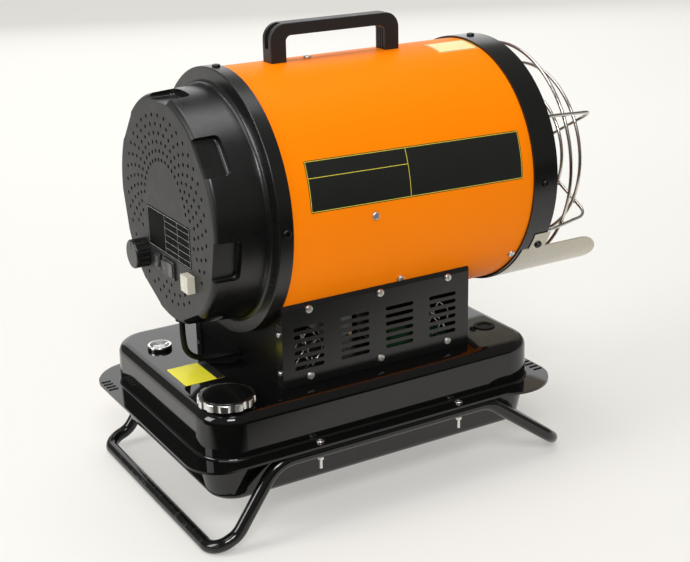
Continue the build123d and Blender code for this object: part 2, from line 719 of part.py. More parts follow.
def filler_strainer():
    """Basket strainer hanging in the filler neck, with slots in its wall."""
    x, y = FILLER_AT
    top = strainer_top()
    r = NECK_R - NECK_T - 0.1
    basket = cyl_z(r, STRAINER_BOTTOM, top, x, y) - cyl_z(r - 0.8, STRAINER_BOTTOM + 0.8,
                                                         top + 1, x, y)
    for i in range(6):
        bar = Pos(x, y, (STRAINER_BOTTOM + NECK_BOTTOM) / 2) * Rot(0, 0, i * 30)
        basket -= bar * Box(3 * r, 5, (NECK_BOTTOM - STRAINER_BOTTOM) * 0.7)
    return basket


def cap_insert():
    """Bayonet plug of the cap, which stays still while the cap's shell turns."""
    x, y = FILLER_AT
    top = NECK_TOP + GASKET_T
    plug = cyl_z(NECK_R - NECK_T - 2.7, top - 11, top, x, y)
    ear = Pos(x, y, top - 9) * Box(2 * (NECK_R - NECK_T - 0.6), 8, 2)
    return plug + ear


def cap_gasket():
    """Rubber ring between the neck and the cap."""
    x, y = FILLER_AT
    r_in = NECK_R - NECK_T - 2.7
    ring = cyl_z(NECK_R + 1.2, NECK_TOP, NECK_TOP + GASKET_T, x, y)
    return ring - cyl_z(r_in, NECK_TOP - 1, NECK_TOP + GASKET_T + 1, x, y)


def fuel_cap_rim():
    """Chromed scalloped shell of the cap."""
    x, y = FILLER_AT
    web = NECK_TOP + GASKET_T + 0.1
    rim = cyl_z(CAP_R, CAP_SKIRT_Z, CAP_TOP, x, y)
    top = rim.edges().group_by(Axis.Z)[-1]
    rim = fillet(top, 1.4)
    out = CAP_R + CAP_SCALLOP_R - CAP_SCALLOP_DEPTH
    for i in range(CAP_LOBES):
        a = radians((i + 0.5) * 360.0 / CAP_LOBES)
        rim -= cyl_z(CAP_SCALLOP_R, CAP_SKIRT_Z - 1, CAP_TOP + 1, x + out * cos(a),
                     y + out * sin(a))
    rim -= cyl_z(NECK_R + 2, CAP_SKIRT_Z - 1, web, x, y)
    return rim - cyl_z(CAP_DISC_R + HOLE_FIT, web + CAP_WEB, CAP_TOP + 1, x, y)


def fuel_cap_disc():
    """Black slightly domed disc in the top of the cap."""
    x, y = FILLER_AT
    seat = NECK_TOP + GASKET_T + 0.1 + CAP_WEB
    disc = cyl_z(CAP_DISC_R, seat, CAP_TOP + 0.6, x, y)
    return fillet(disc.edges().group_by(Axis.Z)[-1], 1.2)


# Gauge, plug and pick-up
def gauge_body():
    """Black gauge base on the tank, with a stem that carries the float's pivot."""
    x, y = GAUGE_AT
    top = TANK_TOP + GAUGE_BASE_H
    body = cyl_z(GAUGE_R, TANK_TOP, top, x, y)
    body += cyl_z(GAUGE_STEM_R, GAUGE_STEM_END + 12, TANK_TOP + 1, x, y)
    body -= cyl_z(GAUGE_R - 3.5, top - 1, top + 1, x, y)
    for side in (-1, 1):
        body += Pos(x, y + side * 5.0, GAUGE_STEM_END + 7) * Box(8, 3, 18)
    pivot = Pos(x, y, GAUGE_STEM_END + 4) * Rot(90, 0, 0)
    body += pivot * Cylinder(1.5, 10)
    return body


def gauge_bezel():
    """Bright ring that holds the gauge's lens."""
    x, y = GAUGE_AT
    low = TANK_TOP + GAUGE_BASE_H
    ring = cyl_z(GAUGE_R, low, low + GAUGE_BEZEL_H, x, y)
    ring = fillet(ring.edges().group_by(Axis.Z)[-1], 1.3)
    return ring - cyl_z(GAUGE_R - 3.2, low - 1, low + GAUGE_BEZEL_H + 1, x, y)


def gauge_lens():
    """Clear lens of the gauge."""
    x, y = GAUGE_AT
    low = TANK_TOP + GAUGE_BASE_H + 1.0
    lens = cyl_z(GAUGE_R - 3.25, low, TANK_TOP + GAUGE_BASE_H + GAUGE_BEZEL_H, x, y)
    return fillet(lens.edges().group_by(Axis.Z)[-1], 0.8)


def gauge_pointer():
    """Small pointer under the lens."""
    x, y = GAUGE_AT
    z = TANK_TOP + GAUGE_BASE_H
    hub = cyl_z(1.8, z - 0.9, z + 0.4, x, y)
    return hub + block(x - 1.0, x + GAUGE_R - 5.5, y - 0.7, y + 0.7, z - 0.4, z + 0.2)


def float_arm():
    """Float on an arm that hangs from the gauge's stem."""
    x, y = GAUGE_AT
    pivot = Pos(x, y, GAUGE_STEM_END + 4) * Rot(0, FLOAT_ANGLE, 0)
    arm = Rot(90, 0, 0) * Cylinder(3.4, 6.0)
    arm += Pos(FLOAT_ARM_L / 2, 0, 0) * Box(FLOAT_ARM_L - 2, 3, 2)
    arm += Pos(FLOAT_ARM_L, 0, 0) * Rot(90, 0, 0) * Cylinder(FLOAT_R, 2.4 * FLOAT_R)
    arm -= Rot(90, 0, 0) * Cylinder(1.5 + RUN_FIT, 12)
    return pivot * arm


def tank_plug():
    """Rubber plug in the tank's top."""
    x, y = PLUG_AT
    plug = cyl_z(PLUG_R - 0.05, TANK_TOP - 6, TANK_TOP + 0.5, x, y)
    cap = cyl_z(PLUG_R + 2, TANK_TOP, TANK_TOP + 1.4, x, y)
    cap = fillet(cap.edges().group_by(Axis.Z)[-1], 0.8)
    plug += cap
    return plug - cyl_z(PLUG_R - 3, TANK_TOP + 0.4, TANK_TOP + 4, x, y)


def fuel_pickup():
    """Suction tube with a filter at its foot and a collar on the tank."""
    x, y = PICKUP_AT
    tube = cyl_z(PICKUP_R, TANK_BOTTOM + 20, TANK_TOP + 8, x, y)
    tube += cyl_z(PICKUP_R + 5, TANK_TOP, TANK_TOP + 3, x, y)
    tube += cyl_z(9.0, TANK_BOTTOM + 6, TANK_BOTTOM + 30, x, y)
    return tube - cyl_z(PICKUP_R - 1.5, TANK_BOTTOM + 15, TANK_TOP + 12, x, y)


# Pedestal
def saddle_z(y, r):
    """Height of a cylinder about the drum's axis at a given Y, on its underside."""
    return AXIS_Z - sqrt(r * r - y * y)


def pedestal_base():
    """Folded base: floor plate, side flanges, end plates cut to the drum, and two rails."""
    y = PED_Y
    z0 = TANK_TOP
    base = block(PED_X0, PED_X1, -y, y, z0, z0 + PED_T)
    for side in (-1, 1):
        ya, yb = sorted((side * y, side * (y - PED_T)))
        base += block(PED_X0, PED_X1, ya, yb, z0, z0 + PED_FLANGE)
        base += block(PED_X0, PED_X1, ya, yb, FOLD_Z - RAIL_H, FOLD_Z - PED_T)
    for xa in (PED_X0, PED_X1 - PED_T):
        base += block(xa, xa + PED_T, -y, y, z0, FOLD_Z - PED_T)
    base -= cyl_x(DRUM_R + SADDLE_GAP, PED_X0 - 5, PED_X1 + 5)
    x, yy = PICKUP_AT
    base -= cyl_z(PICKUP_R + 7, z0 - 5, z0 + 10, x, yy)
    base -= cyl_x(LEAD_R + GROMMET_T, PED_X0 - 5, PED_X0 + 5, LEAD_END_Y, LEAD_END_Z)
    hole = SCREW_R + HOLE_FIT
    for sx in SIDE_SCREWS_X:
        for sz in SIDE_SCREWS_Z:
            base -= Pos(sx, 0, sz) * Rot(90, 0, 0) * Cylinder(hole, 3 * y)
    for sz in RETURN_SCREWS_Z:
        for side in (-1, 1):
            spot = side * (y + COVER_T - RETURN_W / 2)
            base -= cyl_x(hole, PED_X0 - 5, PED_X0 + 5, spot, sz)
            base -= cyl_x(hole, PED_X1 - 5, PED_X1 + 5, spot, sz)
    return base


def side_cover(side):
    """Louvred side cover: a plate with a lip folded in to the drum and two end returns."""
    y_in, y_out = PED_Y, PED_Y + COVER_T
    z0 = TANK_TOP + SADDLE_GAP
    lip_r = DRUM_R + SADDLE_GAP
    lean = y_out - FOLD_IN
    top_z = saddle_z(lean, lip_r)
    outline = Polyline((y_in, z0), (y_out, z0), (y_out, FOLD_Z), (lean, top_z),
                       (lean - COVER_T, top_z), (y_in, FOLD_Z - 0.3), (y_in, z0))
    section = Plane.YZ * make_face(outline)
    plate = Pos(PED_X0 - COVER_T, 0, 0) * extrude(section, PED_X1 - PED_X0 + 2 * COVER_T)
    plate -= cyl_x(lip_r, PED_X0 - 5, PED_X1 + 5)
    plate -= cyl_x(lip_r + BAND_T, PED_X0 - 5, COVER_BAND_FRONT + SADDLE_GAP)
    slot = extrude(SlotOverall(SLOT_L, SLOT_H), COVER_T, both=True)
    spots = GridLocations(SLOT_PITCH_X, SLOT_PITCH_Z, SLOT_GROUPS, SLOT_ROWS)
    plate -= [Pos(SLOT_MID_X, y_out, SLOT_MID_Z) * Rot(90, 0, 0) * spot * slot for spot in spots]
    for xa, xb in ((PED_X0 - COVER_T, PED_X0), (PED_X1, PED_X1 + COVER_T)):
        plate += block(xa, xb, y_out - RETURN_W, y_out, z0, RETURN_TOP)
    hole = SCREW_R + HOLE_FIT
    for sx in SIDE_SCREWS_X:
        for sz in SIDE_SCREWS_Z:
            plate -= Pos(sx, y_out, sz) * Rot(90, 0, 0) * Cylinder(hole, 10)
    for sz in RETURN_SCREWS_Z:
        plate -= cyl_x(hole, PED_X0 - 10, PED_X1 + 10, y_out - RETURN_W / 2, sz)
    if side < 0:
        plate = mirror(plate, about=Plane.XZ)
    return plate


def cover_screws():
    """Bright screws that hold the side covers."""
    y_out = PED_Y + COVER_T
    screws = []
    for side in (-1, 1):
        for sx in SIDE_SCREWS_X:
            for sz in SIDE_SCREWS_Z:
                frame = Pos(sx, side * y_out, sz) * Rot(-side * 90, 0, 0)
                screws.append(frame * pan_screw(SIDE_SCREW_L))
        spot = side * (y_out - RETURN_W / 2)
        for sz in RETURN_SCREWS_Z:
            for sx, turn in ((PED_X0 - COVER_T, -90), (PED_X1 + COVER_T, 90)):
                frame = Pos(sx, spot, sz) * Rot(0, turn, 0)
                screws.append(frame * pan_screw(SIDE_SCREW_L, head_r=RETURN_HEAD_R, head_h=2.0))
    return screws


# Burner
def heat_shield():
    """Inner tube that keeps the drum cool."""
    return tube_x(SHIELD_R, SHIELD_R - SHIELD_T, SHIELD_REAR, SHIELD_FRONT)


def shield_brackets():
    """Six spacers between the heat shield and the drum."""
    tabs = []
    for xa in (SHIELD_REAR + 6, SHIELD_FRONT - 34):
        for angle in (30.0, 150.0, 270.0):
            tab = around(angle) * Pos(xa + 6, -(SHIELD_R + DRUM_R) / 2, 0) * Box(12, 60, 14)
            tab &= tube_x(DRUM_R - DRUM_WALL - 0.1, SHIELD_R + 0.1, xa - 20, xa + 30)
            tabs.append(tab)
    return tabs


def combustion_chamber():
    """Burner can with an end plate and three struts to the heat shield."""
    can = tube_x(CHAMBER_R, CHAMBER_R - CHAMBER_T, CHAMBER_REAR, CHAMBER_FRONT)
    plate = tube_x(CHAMBER_R, BURNER_TUBE_R + 0.1, CHAMBER_REAR, CHAMBER_REAR + CHAMBER_T)
    for i in range(8):
        plate -= around(i * 45.0) * Pos(CHAMBER_REAR, -CHAMBER_R * 0.62, 0) * Box(8, 22, 4)
    can += plate
    for xa in (CHAMBER_REAR + 16, CHAMBER_FRONT - 30):
        for angle in (90.0, 210.0, 330.0):
            strut = around(angle) * Pos(xa, -(SHIELD_R + CHAMBER_R) / 2, 0) * Box(14, 80, 2)
            can += strut & tube_x(SHIELD_R - SHIELD_T - 0.1, CHAMBER_R - 0.6, xa - 20, xa + 20)
    return can


def radiant_disc():
    """Domed plate that glows at the outlet, with rings of holes."""
    rim_r = SHIELD_R - SHIELD_T - RADIANT_FIT
    bulge = RADIANT_BULGE
    ball = (RADIANT_DOME_R ** 2 + bulge ** 2) / (2 * bulge)
    half_r = RADIANT_DOME_R / 2
    half_x = RADIANT_X + bulge - ball + sqrt(ball ** 2 - half_r ** 2)
    x, t = RADIANT_X, RADIANT_T
    crown, foot = x + bulge, (x, RADIANT_DOME_R)
    outline = [ThreePointArc((crown, 0), (half_x, half_r), foot),
               Polyline(foot, (x, rim_r), (x - t, rim_r), (x - t, RADIANT_DOME_R)),
               ThreePointArc((x - t, RADIANT_DOME_R), (half_x - t, half_r), (crown - t, 0)),
               Line((crown - t, 0), (crown, 0))]
    disc = Pos(0, 0, AXIS_Z) * revolve(make_face(outline), axis=Axis.X)
    hole = Rot(0, 90, 0) * Cylinder(RADIANT_HOLE_R, 8 * bulge)
    for r, count in RADIANT_HOLE_ROWS:
        disc -= [around((i + 0.5) * 360.0 / count) * Pos(x, -r, 0) * hole for i in range(count)]
    return disc


def burner_head():
    """Flange on the chamber's rear plate, with a short flame tube."""
    x = CHAMBER_REAR
    head = cyl_x(BURNER_R, x - 3, x) + cyl_x(BURNER_TUBE_R, x - 1, x + 26)
    head -= cyl_x(BURNER_TUBE_R - 1.5, x + 1, x + 30)
    head -= cyl_x(NOZZLE_R + HOLE_FIT, x - 10, x + 10)
    for side in (-1, 1):
        head -= cyl_x(ELECTRODE_R + HOLE_FIT, x - 10, x + 10, side * ELECTRODE_OFF, AXIS_Z)
    return head


def fuel_nozzle():
    """Siphon nozzle with a fuel port below and an air port above."""
    body = cyl_x(NOZZLE_R, NOZZLE_X0, NOZZLE_X1 - 4)
    body += cyl_x(NOZZLE_R - 3, NOZZLE_X0, NOZZLE_X1)
    port = (NOZZLE_X0 + CHAMBER_REAR - 3) / 2
    body += cyl_z(4.0, AXIS_Z - NOZZLE_R - 3, AXIS_Z + NOZZLE_R + 3, port, 0)
    return body


def ignition_electrodes():
    """Two ceramic rods with bent tips in front of the nozzle."""
    rods = []
    x = CHAMBER_REAR
    for side in (-1, 1):
        y = side * ELECTRODE_OFF
        rod = cyl_x(ELECTRODE_R, x - 14, x + 14, y, AXIS_Z)
        tip = cyl_x(1.0, x + 13, x + 22, y, AXIS_Z)
        rods.append(rod + tip)
    return rods


# Motor, fan and pump
def motor_body():
    """Motor case with bearing bores, hollow for the armature."""
    body = cyl_x(MOTOR_R, MOTOR_REAR, MOTOR_FRONT)
    body = fillet(body.edges().filter_by(GeomType.CIRCLE), 4.0)
    body -= cyl_x(ARMATURE_R + 0.5, MOTOR_REAR + 5, MOTOR_FRONT - 5)
    return body - cyl_x(SHAFT_R + RUN_FIT, MOTOR_REAR - 5, MOTOR_FRONT + 5)


def motor_shaft():
    """Shaft through pump, motor and fan, with its armature."""
    shaft = cyl_x(SHAFT_R, MOTOR_REAR - PUMP_L + 2, SHAFT_FRONT)
    return shaft + cyl_x(ARMATURE_R, MOTOR_REAR + 6, MOTOR_FRONT - 6)


def cooling_fan():
    """Pressed fan with pitched blades on a hub."""
    hub = cyl_x(FAN_HUB_R, FAN_X0, FAN_X1)
    fan = hub
    mid = (FAN_X0 + FAN_X1) / 2
    width = (FAN_X1 - FAN_X0) / cos(radians(FAN_PITCH)) * 0.9
    span = FAN_R - FAN_HUB_R + 4
    for i in range(FAN_BLADES):
        blade = Pos(mid, -(FAN_HUB_R - 4 + span / 2), 0) * Rot(0, FAN_PITCH, 0) * Box(
            width, span, 1.6)
        fan += around(i * 360.0 / FAN_BLADES) * blade
    fan &= cyl_x(FAN_R, FAN_X0 - 10, FAN_X1 + 10)
    return fan - cyl_x(SHAFT_R, FAN_X0 - 5, FAN_X1 + 5)


def pump_housing():
    """Vane pump housing on the motor's rear end, its bore set off the shaft's axis."""
    x1 = MOTOR_REAR
    x0 = x1 - PUMP_L
    body = cyl_x(PUMP_R, x0, x1)
    body -= cyl_x(PUMP_BORE, x0 - 1, x1 - 4, 0, AXIS_Z + PUMP_OFFSET)
    body -= cyl_x(SHAFT_R + RUN_FIT, x0 - 5, x1 + 5)
    body += cyl_z(4.5, AXIS_Z + PUMP_R - 2, AXIS_Z + PUMP_R + 6, (x0 + x1) / 2, 0)
    return body


def pump_rotor():
    """Slotted rotor of the vane pump."""
    x0, x1 = MOTOR_REAR - PUMP_L + 0.6, MOTOR_REAR - 4.6
    rotor = cyl_x(PUMP_ROTOR_R, x0, x1) - cyl_x(SHAFT_R, x0 - 1, x1 + 1)
    for i in range(4):
        rotor -= around(i * 90.0) * Pos((x0 + x1) / 2, -PUMP_ROTOR_R, 0) * Box(40, 22, 2.4)
    return rotor


def pump_cover():
    """End cover of the pump with its air filter housing."""
    x1 = MOTOR_REAR - PUMP_L
    cover = cyl_x(PUMP_R, x1 - 6, x1) + cyl_x(PUMP_R - 8, x1 - PUMP_COVER_L, x1 - 5)
    return fillet(cover.edges().filter_by(GeomType.CIRCLE).group_by(Axis.X)[0], 3.0)


def motor_bracket():
    """Saddle that carries the motor in the drum."""
    xa, xb = BRACKET_X
    w = BRACKET_W / 2
    leg = block(xa, xb, -w, w, AXIS_Z - DRUM_R, AXIS_Z)
    leg &= cyl_x(DRUM_R - DRUM_WALL - 0.1, xa - 5, xb + 5)
    leg -= cyl_x(MOTOR_R + 0.1, xa - 5, xb + 5)
    hollow = block(xa - 5, xb + 5, -w + 3, w - 3, AXIS_Z - DRUM_R + 9, AXIS_Z - MOTOR_R - 4)
    return leg - hollow - block(xa - 5, xb + 5, -w - 5, w + 5, AXIS_Z - MOTOR_R * 0.75, AXIS_Z + 5)


# Electrical parts in the pedestal
def ignition_transformer():
    """Ignition transformer block with two terminals."""
    x, y = TRANSFORMER_AT
    length, width, height = TRANSFORMER
    z = TANK_TOP + PED_T
    body = Pos(x, y, z + height / 2) * Box(length, width, height)
    body = fillet(body.edges().filter_by(Axis.Z), 3.0)
    for dx in (-14, 14):
        body += cyl_z(4.0, z + height - 1, z + height + 7, x + dx, y)
    return body


def control_board():
    """Control board on four standoffs with a relay and a capacitor."""
    x, y = BOARD_AT
    length, width, t = BOARD
    z = TANK_TOP + PED_T
    board = Pos(x, y, z + STANDOFF_H + t / 2) * Box(length, width, t)
    for dx in (-length / 2 + 6, length / 2 - 6):
        for dy in (-width / 2 + 6, width / 2 - 6):
            board += cyl_z(3.0, z, z + STANDOFF_H + 0.1, x + dx, y + dy)
    top = z + STANDOFF_H + t
    board += block(x - 34, x - 8, y - 22, y - 4, top - 0.1, top + 16)
    board += cyl_z(8.0, top - 0.1, top + 22, x + 22, y + 12)
    board += block(x + 4, x + 38, y - 26, y - 12, top - 0.1, top + 12)
    return board


# Hoses and lead
def fuel_hose():
    """Hose from the tank's pick-up to the underside of the nozzle."""
    x, y = PICKUP_AT
    port = (NOZZLE_X0 + CHAMBER_REAR - 3) / 2
    top = AXIS_Z - NOZZLE_R - 3
    return hose([(x, y, TANK_TOP + 8), (x, y, TANK_TOP + 36), (x - 2, y + 10, TANK_TOP + 78),
                 (port + 1, -3, TANK_TOP + 128), (port, 0, top - 26), (port, 0, top)],
                HOSE_R, "fuel_hose")


def air_hose():
    """Hose from the pump, outside the fan, to the top of the nozzle."""
    x0 = MOTOR_REAR - PUMP_L / 2
    port = (NOZZLE_X0 + CHAMBER_REAR - 3) / 2
    out = (FAN_R + DRUM_R - DRUM_WALL) / 2
    z = AXIS_Z
    return hose([(x0, 0, z + PUMP_R + 6), (x0, 0, z + PUMP_R + 46), (x0 + 10, 0, z + out - 16),
                 (x0 + 34, 0, z + out), (x0 + 86, 0, z + out + 3), (port - 24, 0, z + out),
                 (port - 4, 0, z + out - 16), (port, 0, z + out - 62), (port, 0, z + NOZZLE_R + 3)],
                HOSE_R, "air_hose")


def control_lead():
    """Black lead from the rear cover down over the tank into the pedestal."""
    z = TANK_TOP + LEAD_R + 0.4
    x_end = PED_X0 - COVER_T - 1.0
    drop = LEAD_TOP_Z
    return hose([(LEAD_EXIT_X, 0, drop), (LEAD_EXIT_X, 0, drop - 22),
                 (LEAD_EXIT_X + 4, 4, drop - 42),
                 (LEAD_EXIT_X + 16, 8, z + 5.5), (LEAD_EXIT_X + 34, 5, z + 1.2),
                 (x_end - 16, LEAD_END_Y, LEAD_END_Z), (x_end, LEAD_END_Y, LEAD_END_Z)],
                LEAD_R, "control_lead")


def lead_grommets():
    """Rubber grommets where the lead leaves the cover and enters the pedestal."""
    top = cyl_z(LEAD_R + GROMMET_T - 0.1, LEAD_TOP_Z, LEAD_TOP_Z + 8, LEAD_EXIT_X, 0)
    top += cyl_z(LEAD_R + GROMMET_T + 2, LEAD_TOP_Z, LEAD_TOP_Z + 1.6, LEAD_EXIT_X, 0)
    x_end = PED_X0 - COVER_T - 1.0
    low = cyl_x(LEAD_R + GROMMET_T - 0.1, x_end, PED_X0 + 4, LEAD_END_Y, LEAD_END_Z)
    return [top, low]


# Controls
def knob_spot(x0, x1, r):
    y, z = KNOB_AT
    return cyl_x(r, x0, x1, y, z)


def thermostat_body():
    """Thermostat behind the rear face, with a bush for the spindle."""
    y, z = KNOB_AT
    x0 = COVER_FACE_X + COVER_WALL
    body = Pos(x0 + 12, y, z) * Box(24, 34, 34)
    body = fillet(body.edges().filter_by(Axis.X), 4.0)
    body += knob_spot(x0 - 2, x0 + 1, SPINDLE_R + 0.9)
    return body - knob_spot(x0 - 5, x0 + 16, SPINDLE_R + RUN_FIT)


def thermostat_knob():
    """Ribbed control knob with its spindle."""
    face = COVER_FACE_X - KNOB_GAP
    knob = knob_spot(face - KNOB_L, face, KNOB_R)
    knob = fillet(knob.edges().filter_by(GeomType.CIRCLE).group_by(Axis.X)[0], 2.0)
    y, z = KNOB_AT
    out = KNOB_R + KNOB_GROOVE_R - KNOB_GROOVE_DEPTH
    for i in range(KNOB_GROOVES):
        a = radians(i * 360.0 / KNOB_GROOVES)
        knob -= cyl_x(KNOB_GROOVE_R, face - KNOB_L + 3, face + 1, y + out * cos(a),
                      z + out * sin(a))
    mark = Pos(face - KNOB_L, y, z + KNOB_R * 0.62) * Box(1.2, 1.6, KNOB_R * 0.5)
    return knob - mark + knob_spot(face - 1, COVER_FACE_X + COVER_WALL + 14, SPINDLE_R)


def rocker_hollow(size):
    """Width and height of the hollow in a rocker's frame."""
    return tuple(side - 2 * (ROCKER_RIM + ROCKER_WALL) for side in size)


def rocker_frame(at, size, across):
    """Frame on the rear face with a body behind it, open for the paddle."""
    y, z = at
    w, h = rocker_hollow(size)
    front = COVER_FACE_X - ROCKER_FRAME_H
    frame = Pos((front + COVER_FACE_X) / 2, y, z) * Box(ROCKER_FRAME_H, *size)
    frame = fillet(frame.edges().filter_by(Axis.X), ROCKER_CORNER)
    frame += Pos(COVER_FACE_X + ROCKER_DEPTH / 2 - 0.5, y, z) * Box(
        ROCKER_DEPTH + 1, w + 2 * ROCKER_WALL, h + 2 * ROCKER_WALL)
    frame -= Pos(front + ROCKER_HOLLOW / 2, y, z) * Box(ROCKER_HOLLOW + 0.1, w, h)
    return frame - rocker_pin(at, size, across, ROCKER_PIN_R + RUN_FIT, ROCKER_PIN_L + 0.1)


def rocker_pin(at, size, across, r, reach):
    """Pivot pin across the hollow, reaching into its walls on both sides."""
    w, h = rocker_hollow(size)
    spot = Pos(COVER_FACE_X - ROCKER_FRAME_H + ROCKER_PIVOT, *at)
    if across:
        return spot * Cylinder(r, h + 2 * reach)
    return spot * Rot(90, 0, 0) * Cylinder(r, w + 2 * reach)


def rocker_paddle(at, size, across):
    """Paddle pressed on one side at rest; it rocks about Z when across, else about Y."""
    w, h = rocker_hollow(size)
    long, short = (w, h) if across else (h, w)
    half = long / 2 - ROCKER_END_GAP
    rise = half * tan(radians(ROCKER_TILT))
    outline = Polyline((-half, -ROCKER_BELOW), (half, -ROCKER_BELOW), (half, ROCKER_ABOVE + rise),
                       (0, ROCKER_ABOVE), (-half, ROCKER_ABOVE + rise), (-half, -ROCKER_BELOW))
    paddle = extrude(make_face(outline), short / 2 - ROCKER_SIDE_GAP, both=True)
    along = (0, 1, 0) if across else (0, 0, 1)
    normal = (0, 0, 1) if across else (0, -1, 0)
    facing = Plane(origin=(0, 0, 0), x_dir=along, z_dir=normal)
    tilt = Rot(0, 0, ROCKER_TILT) if across else Rot(0, ROCKER_TILT, 0)
    spot = Pos(COVER_FACE_X - ROCKER_FRAME_H + ROCKER_PIVOT, *at)
    paddle = spot * tilt * (facing * paddle)
    return paddle + rocker_pin(at, size, across, ROCKER_PIN_R, ROCKER_PIN_L)


def reset_housing():
    """Switch housing behind the rear face that guides the reset button."""
    y, z = BUTTON_AT
    w, h = BUTTON
    x0 = COVER_FACE_X + COVER_WALL
    body = Pos(x0 + 11, y, z) * Box(22, w + 6, h + 6)
    pit = Pos(x0 + 6, y, z) * Box(12.1, w + 2 * BUTTON_FIT, h + 2 * BUTTON_FIT)
    return body - pit


def reset_button():
    """Ivory push button that stands out of the rear face."""
    y, z = BUTTON_AT
    w, h = BUTTON
    x0 = COVER_FACE_X - BUTTON_OUT
    x1 = COVER_FACE_X + COVER_WALL + 12 - BUTTON_TRAVEL - 0.6
    button = Pos((x0 + x1) / 2, y, z) * Box(x1 - x0, w, h)
    edges = button.faces().sort_by(Axis.X)[0].edges()
    return fillet(edges, 1.5)


def nodes():
    """Every piece of the heater by name."""
    return {
        "drum_shell": drum_shell(),
        "front_ring": front_ring(),
        "rear_cover": rear_cover(),
        "drum_screws": drum_screws(),
        "ring_screws": ring_screws(),
        "carry_handle": carry_handle(),
        "handle_screws": handle_screws(),
        "guard_bows": guard_bows(),
        "guard_hoops": guard_hoops(),
        "heat_deflector": heat_deflector(),
        "tank_upper_shell": tank_upper_shell(),
        "tank_lower_shell": tank_lower_shell(),
        "leg_frame": leg_frame(),
        "flange_bolts": flange_bolts(),
        "flange_nuts": flange_nuts(),
        "filler_neck": filler_neck(),
        "filler_strainer": filler_strainer(),
        "cap_insert": cap_insert(),
        "cap_gasket": cap_gasket(),
        "fuel_cap_rim": fuel_cap_rim(),
        "fuel_cap_disc": fuel_cap_disc(),
        "gauge_body": gauge_body(),
        "gauge_bezel": gauge_bezel(),
        "gauge_lens": gauge_lens(),
        "gauge_pointer": gauge_pointer(),
        "float_arm": float_arm(),
        "tank_plug": tank_plug(),
        "fuel_pickup": fuel_pickup(),
        "pedestal_base": pedestal_base(),
        "near_side_cover": side_cover(-1),
        "far_side_cover": side_cover(1),
        "cover_screws": cover_screws(),
        "heat_shield": heat_shield(),
        "shield_brackets": shield_brackets(),
        "combustion_chamber": combustion_chamber(),
        "radiant_disc": radiant_disc(),
        "burner_head": burner_head(),
        "fuel_nozzle": fuel_nozzle(),
        "ignition_electrodes": ignition_electrodes(),
        "motor_body": motor_body(),
        "motor_shaft": motor_shaft(),
        "cooling_fan": cooling_fan(),
        "pump_housing": pump_housing(),
        "pump_rotor": pump_rotor(),
        "pump_cover": pump_cover(),
        "motor_bracket": motor_bracket(),
        "ignition_transformer": ignition_transformer(),
        "control_board": control_board(),
        "fuel_hose": fuel_hose(),
        "air_hose": air_hose(),
        "control_lead": control_lead(),
        "lead_grommets": lead_grommets(),
        "thermostat_body": thermostat_body(),
        "thermostat_knob": thermostat_knob(),
        "small_rocker_frame": rocker_frame(SMALL_ROCKER_AT, SMALL_ROCKER, False),
        "small_rocker_paddle": rocker_paddle(SMALL_ROCKER_AT, SMALL_ROCKER, False),
        "large_rocker_frame": rocker_frame(LARGE_ROCKER_AT, LARGE_ROCKER, True),
        "large_rocker_paddle": rocker_paddle(LARGE_ROCKER_AT, LARGE_ROCKER, True),
        "reset_housing": reset_housing(),
        "reset_button": reset_button(),
    }


def placed(shape):
    """The piece, moved so that the whole part's bounding box is centred on the origin in X."""
    if isinstance(shape, list):
        shape = Compound(children=list(shape))
    flange_end = TANK_X - TANK_L / 2 - FLANGE_END
    return Pos(-(flange_end + DEFLECTOR_FRONT) / 2, 0, 0) * shape


os.makedirs("parts", exist_ok=True)
for node, shape in nodes().items():
    export_step(placed(shape), f"parts/{node}.step")
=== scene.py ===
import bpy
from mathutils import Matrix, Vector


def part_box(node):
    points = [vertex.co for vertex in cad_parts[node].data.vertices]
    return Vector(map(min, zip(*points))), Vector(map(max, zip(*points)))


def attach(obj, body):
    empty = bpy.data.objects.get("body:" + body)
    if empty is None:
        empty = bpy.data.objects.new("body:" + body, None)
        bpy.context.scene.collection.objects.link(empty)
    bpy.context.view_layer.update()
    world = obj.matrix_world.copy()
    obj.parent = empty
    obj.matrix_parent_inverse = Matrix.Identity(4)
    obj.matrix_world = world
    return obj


bl_info = {
    "name": "Infrared diesel heater",
    "version": (1, 0, 0),
    "blender": (4, 5, 0),
    "location": "3D View > Sidebar > Heater",
    "description": "Finishes, labels, welds and studio for an infrared diesel heater",
    "category": "Object",
}

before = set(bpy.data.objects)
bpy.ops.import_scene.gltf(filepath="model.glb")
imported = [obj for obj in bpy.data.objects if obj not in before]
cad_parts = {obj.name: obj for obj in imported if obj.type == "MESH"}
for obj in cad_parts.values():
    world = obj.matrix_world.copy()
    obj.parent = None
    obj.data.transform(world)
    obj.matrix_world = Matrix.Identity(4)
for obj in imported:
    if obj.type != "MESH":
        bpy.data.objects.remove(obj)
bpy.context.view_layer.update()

from math import radians

import bmesh
import bpy
import numpy as np
from mathutils import Matrix, Vector

MM = 0.001

# Places taken from the CAD parts
DRUM_LOW, DRUM_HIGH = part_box("drum_shell")
RING_LOW, RING_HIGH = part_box("front_ring")
COVER_LOW, COVER_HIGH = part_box("rear_cover")
TANK_LOW, TANK_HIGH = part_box("tank_upper_shell")
GUARD_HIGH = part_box("guard_bows")[1]
PEDESTAL_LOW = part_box("near_side_cover")[0]
DRUM_R = (DRUM_HIGH.y - DRUM_LOW.y) / 2
AXIS_Z = (DRUM_HIGH.z + DRUM_LOW.z) / 2
FACE_X = COVER_LOW.x


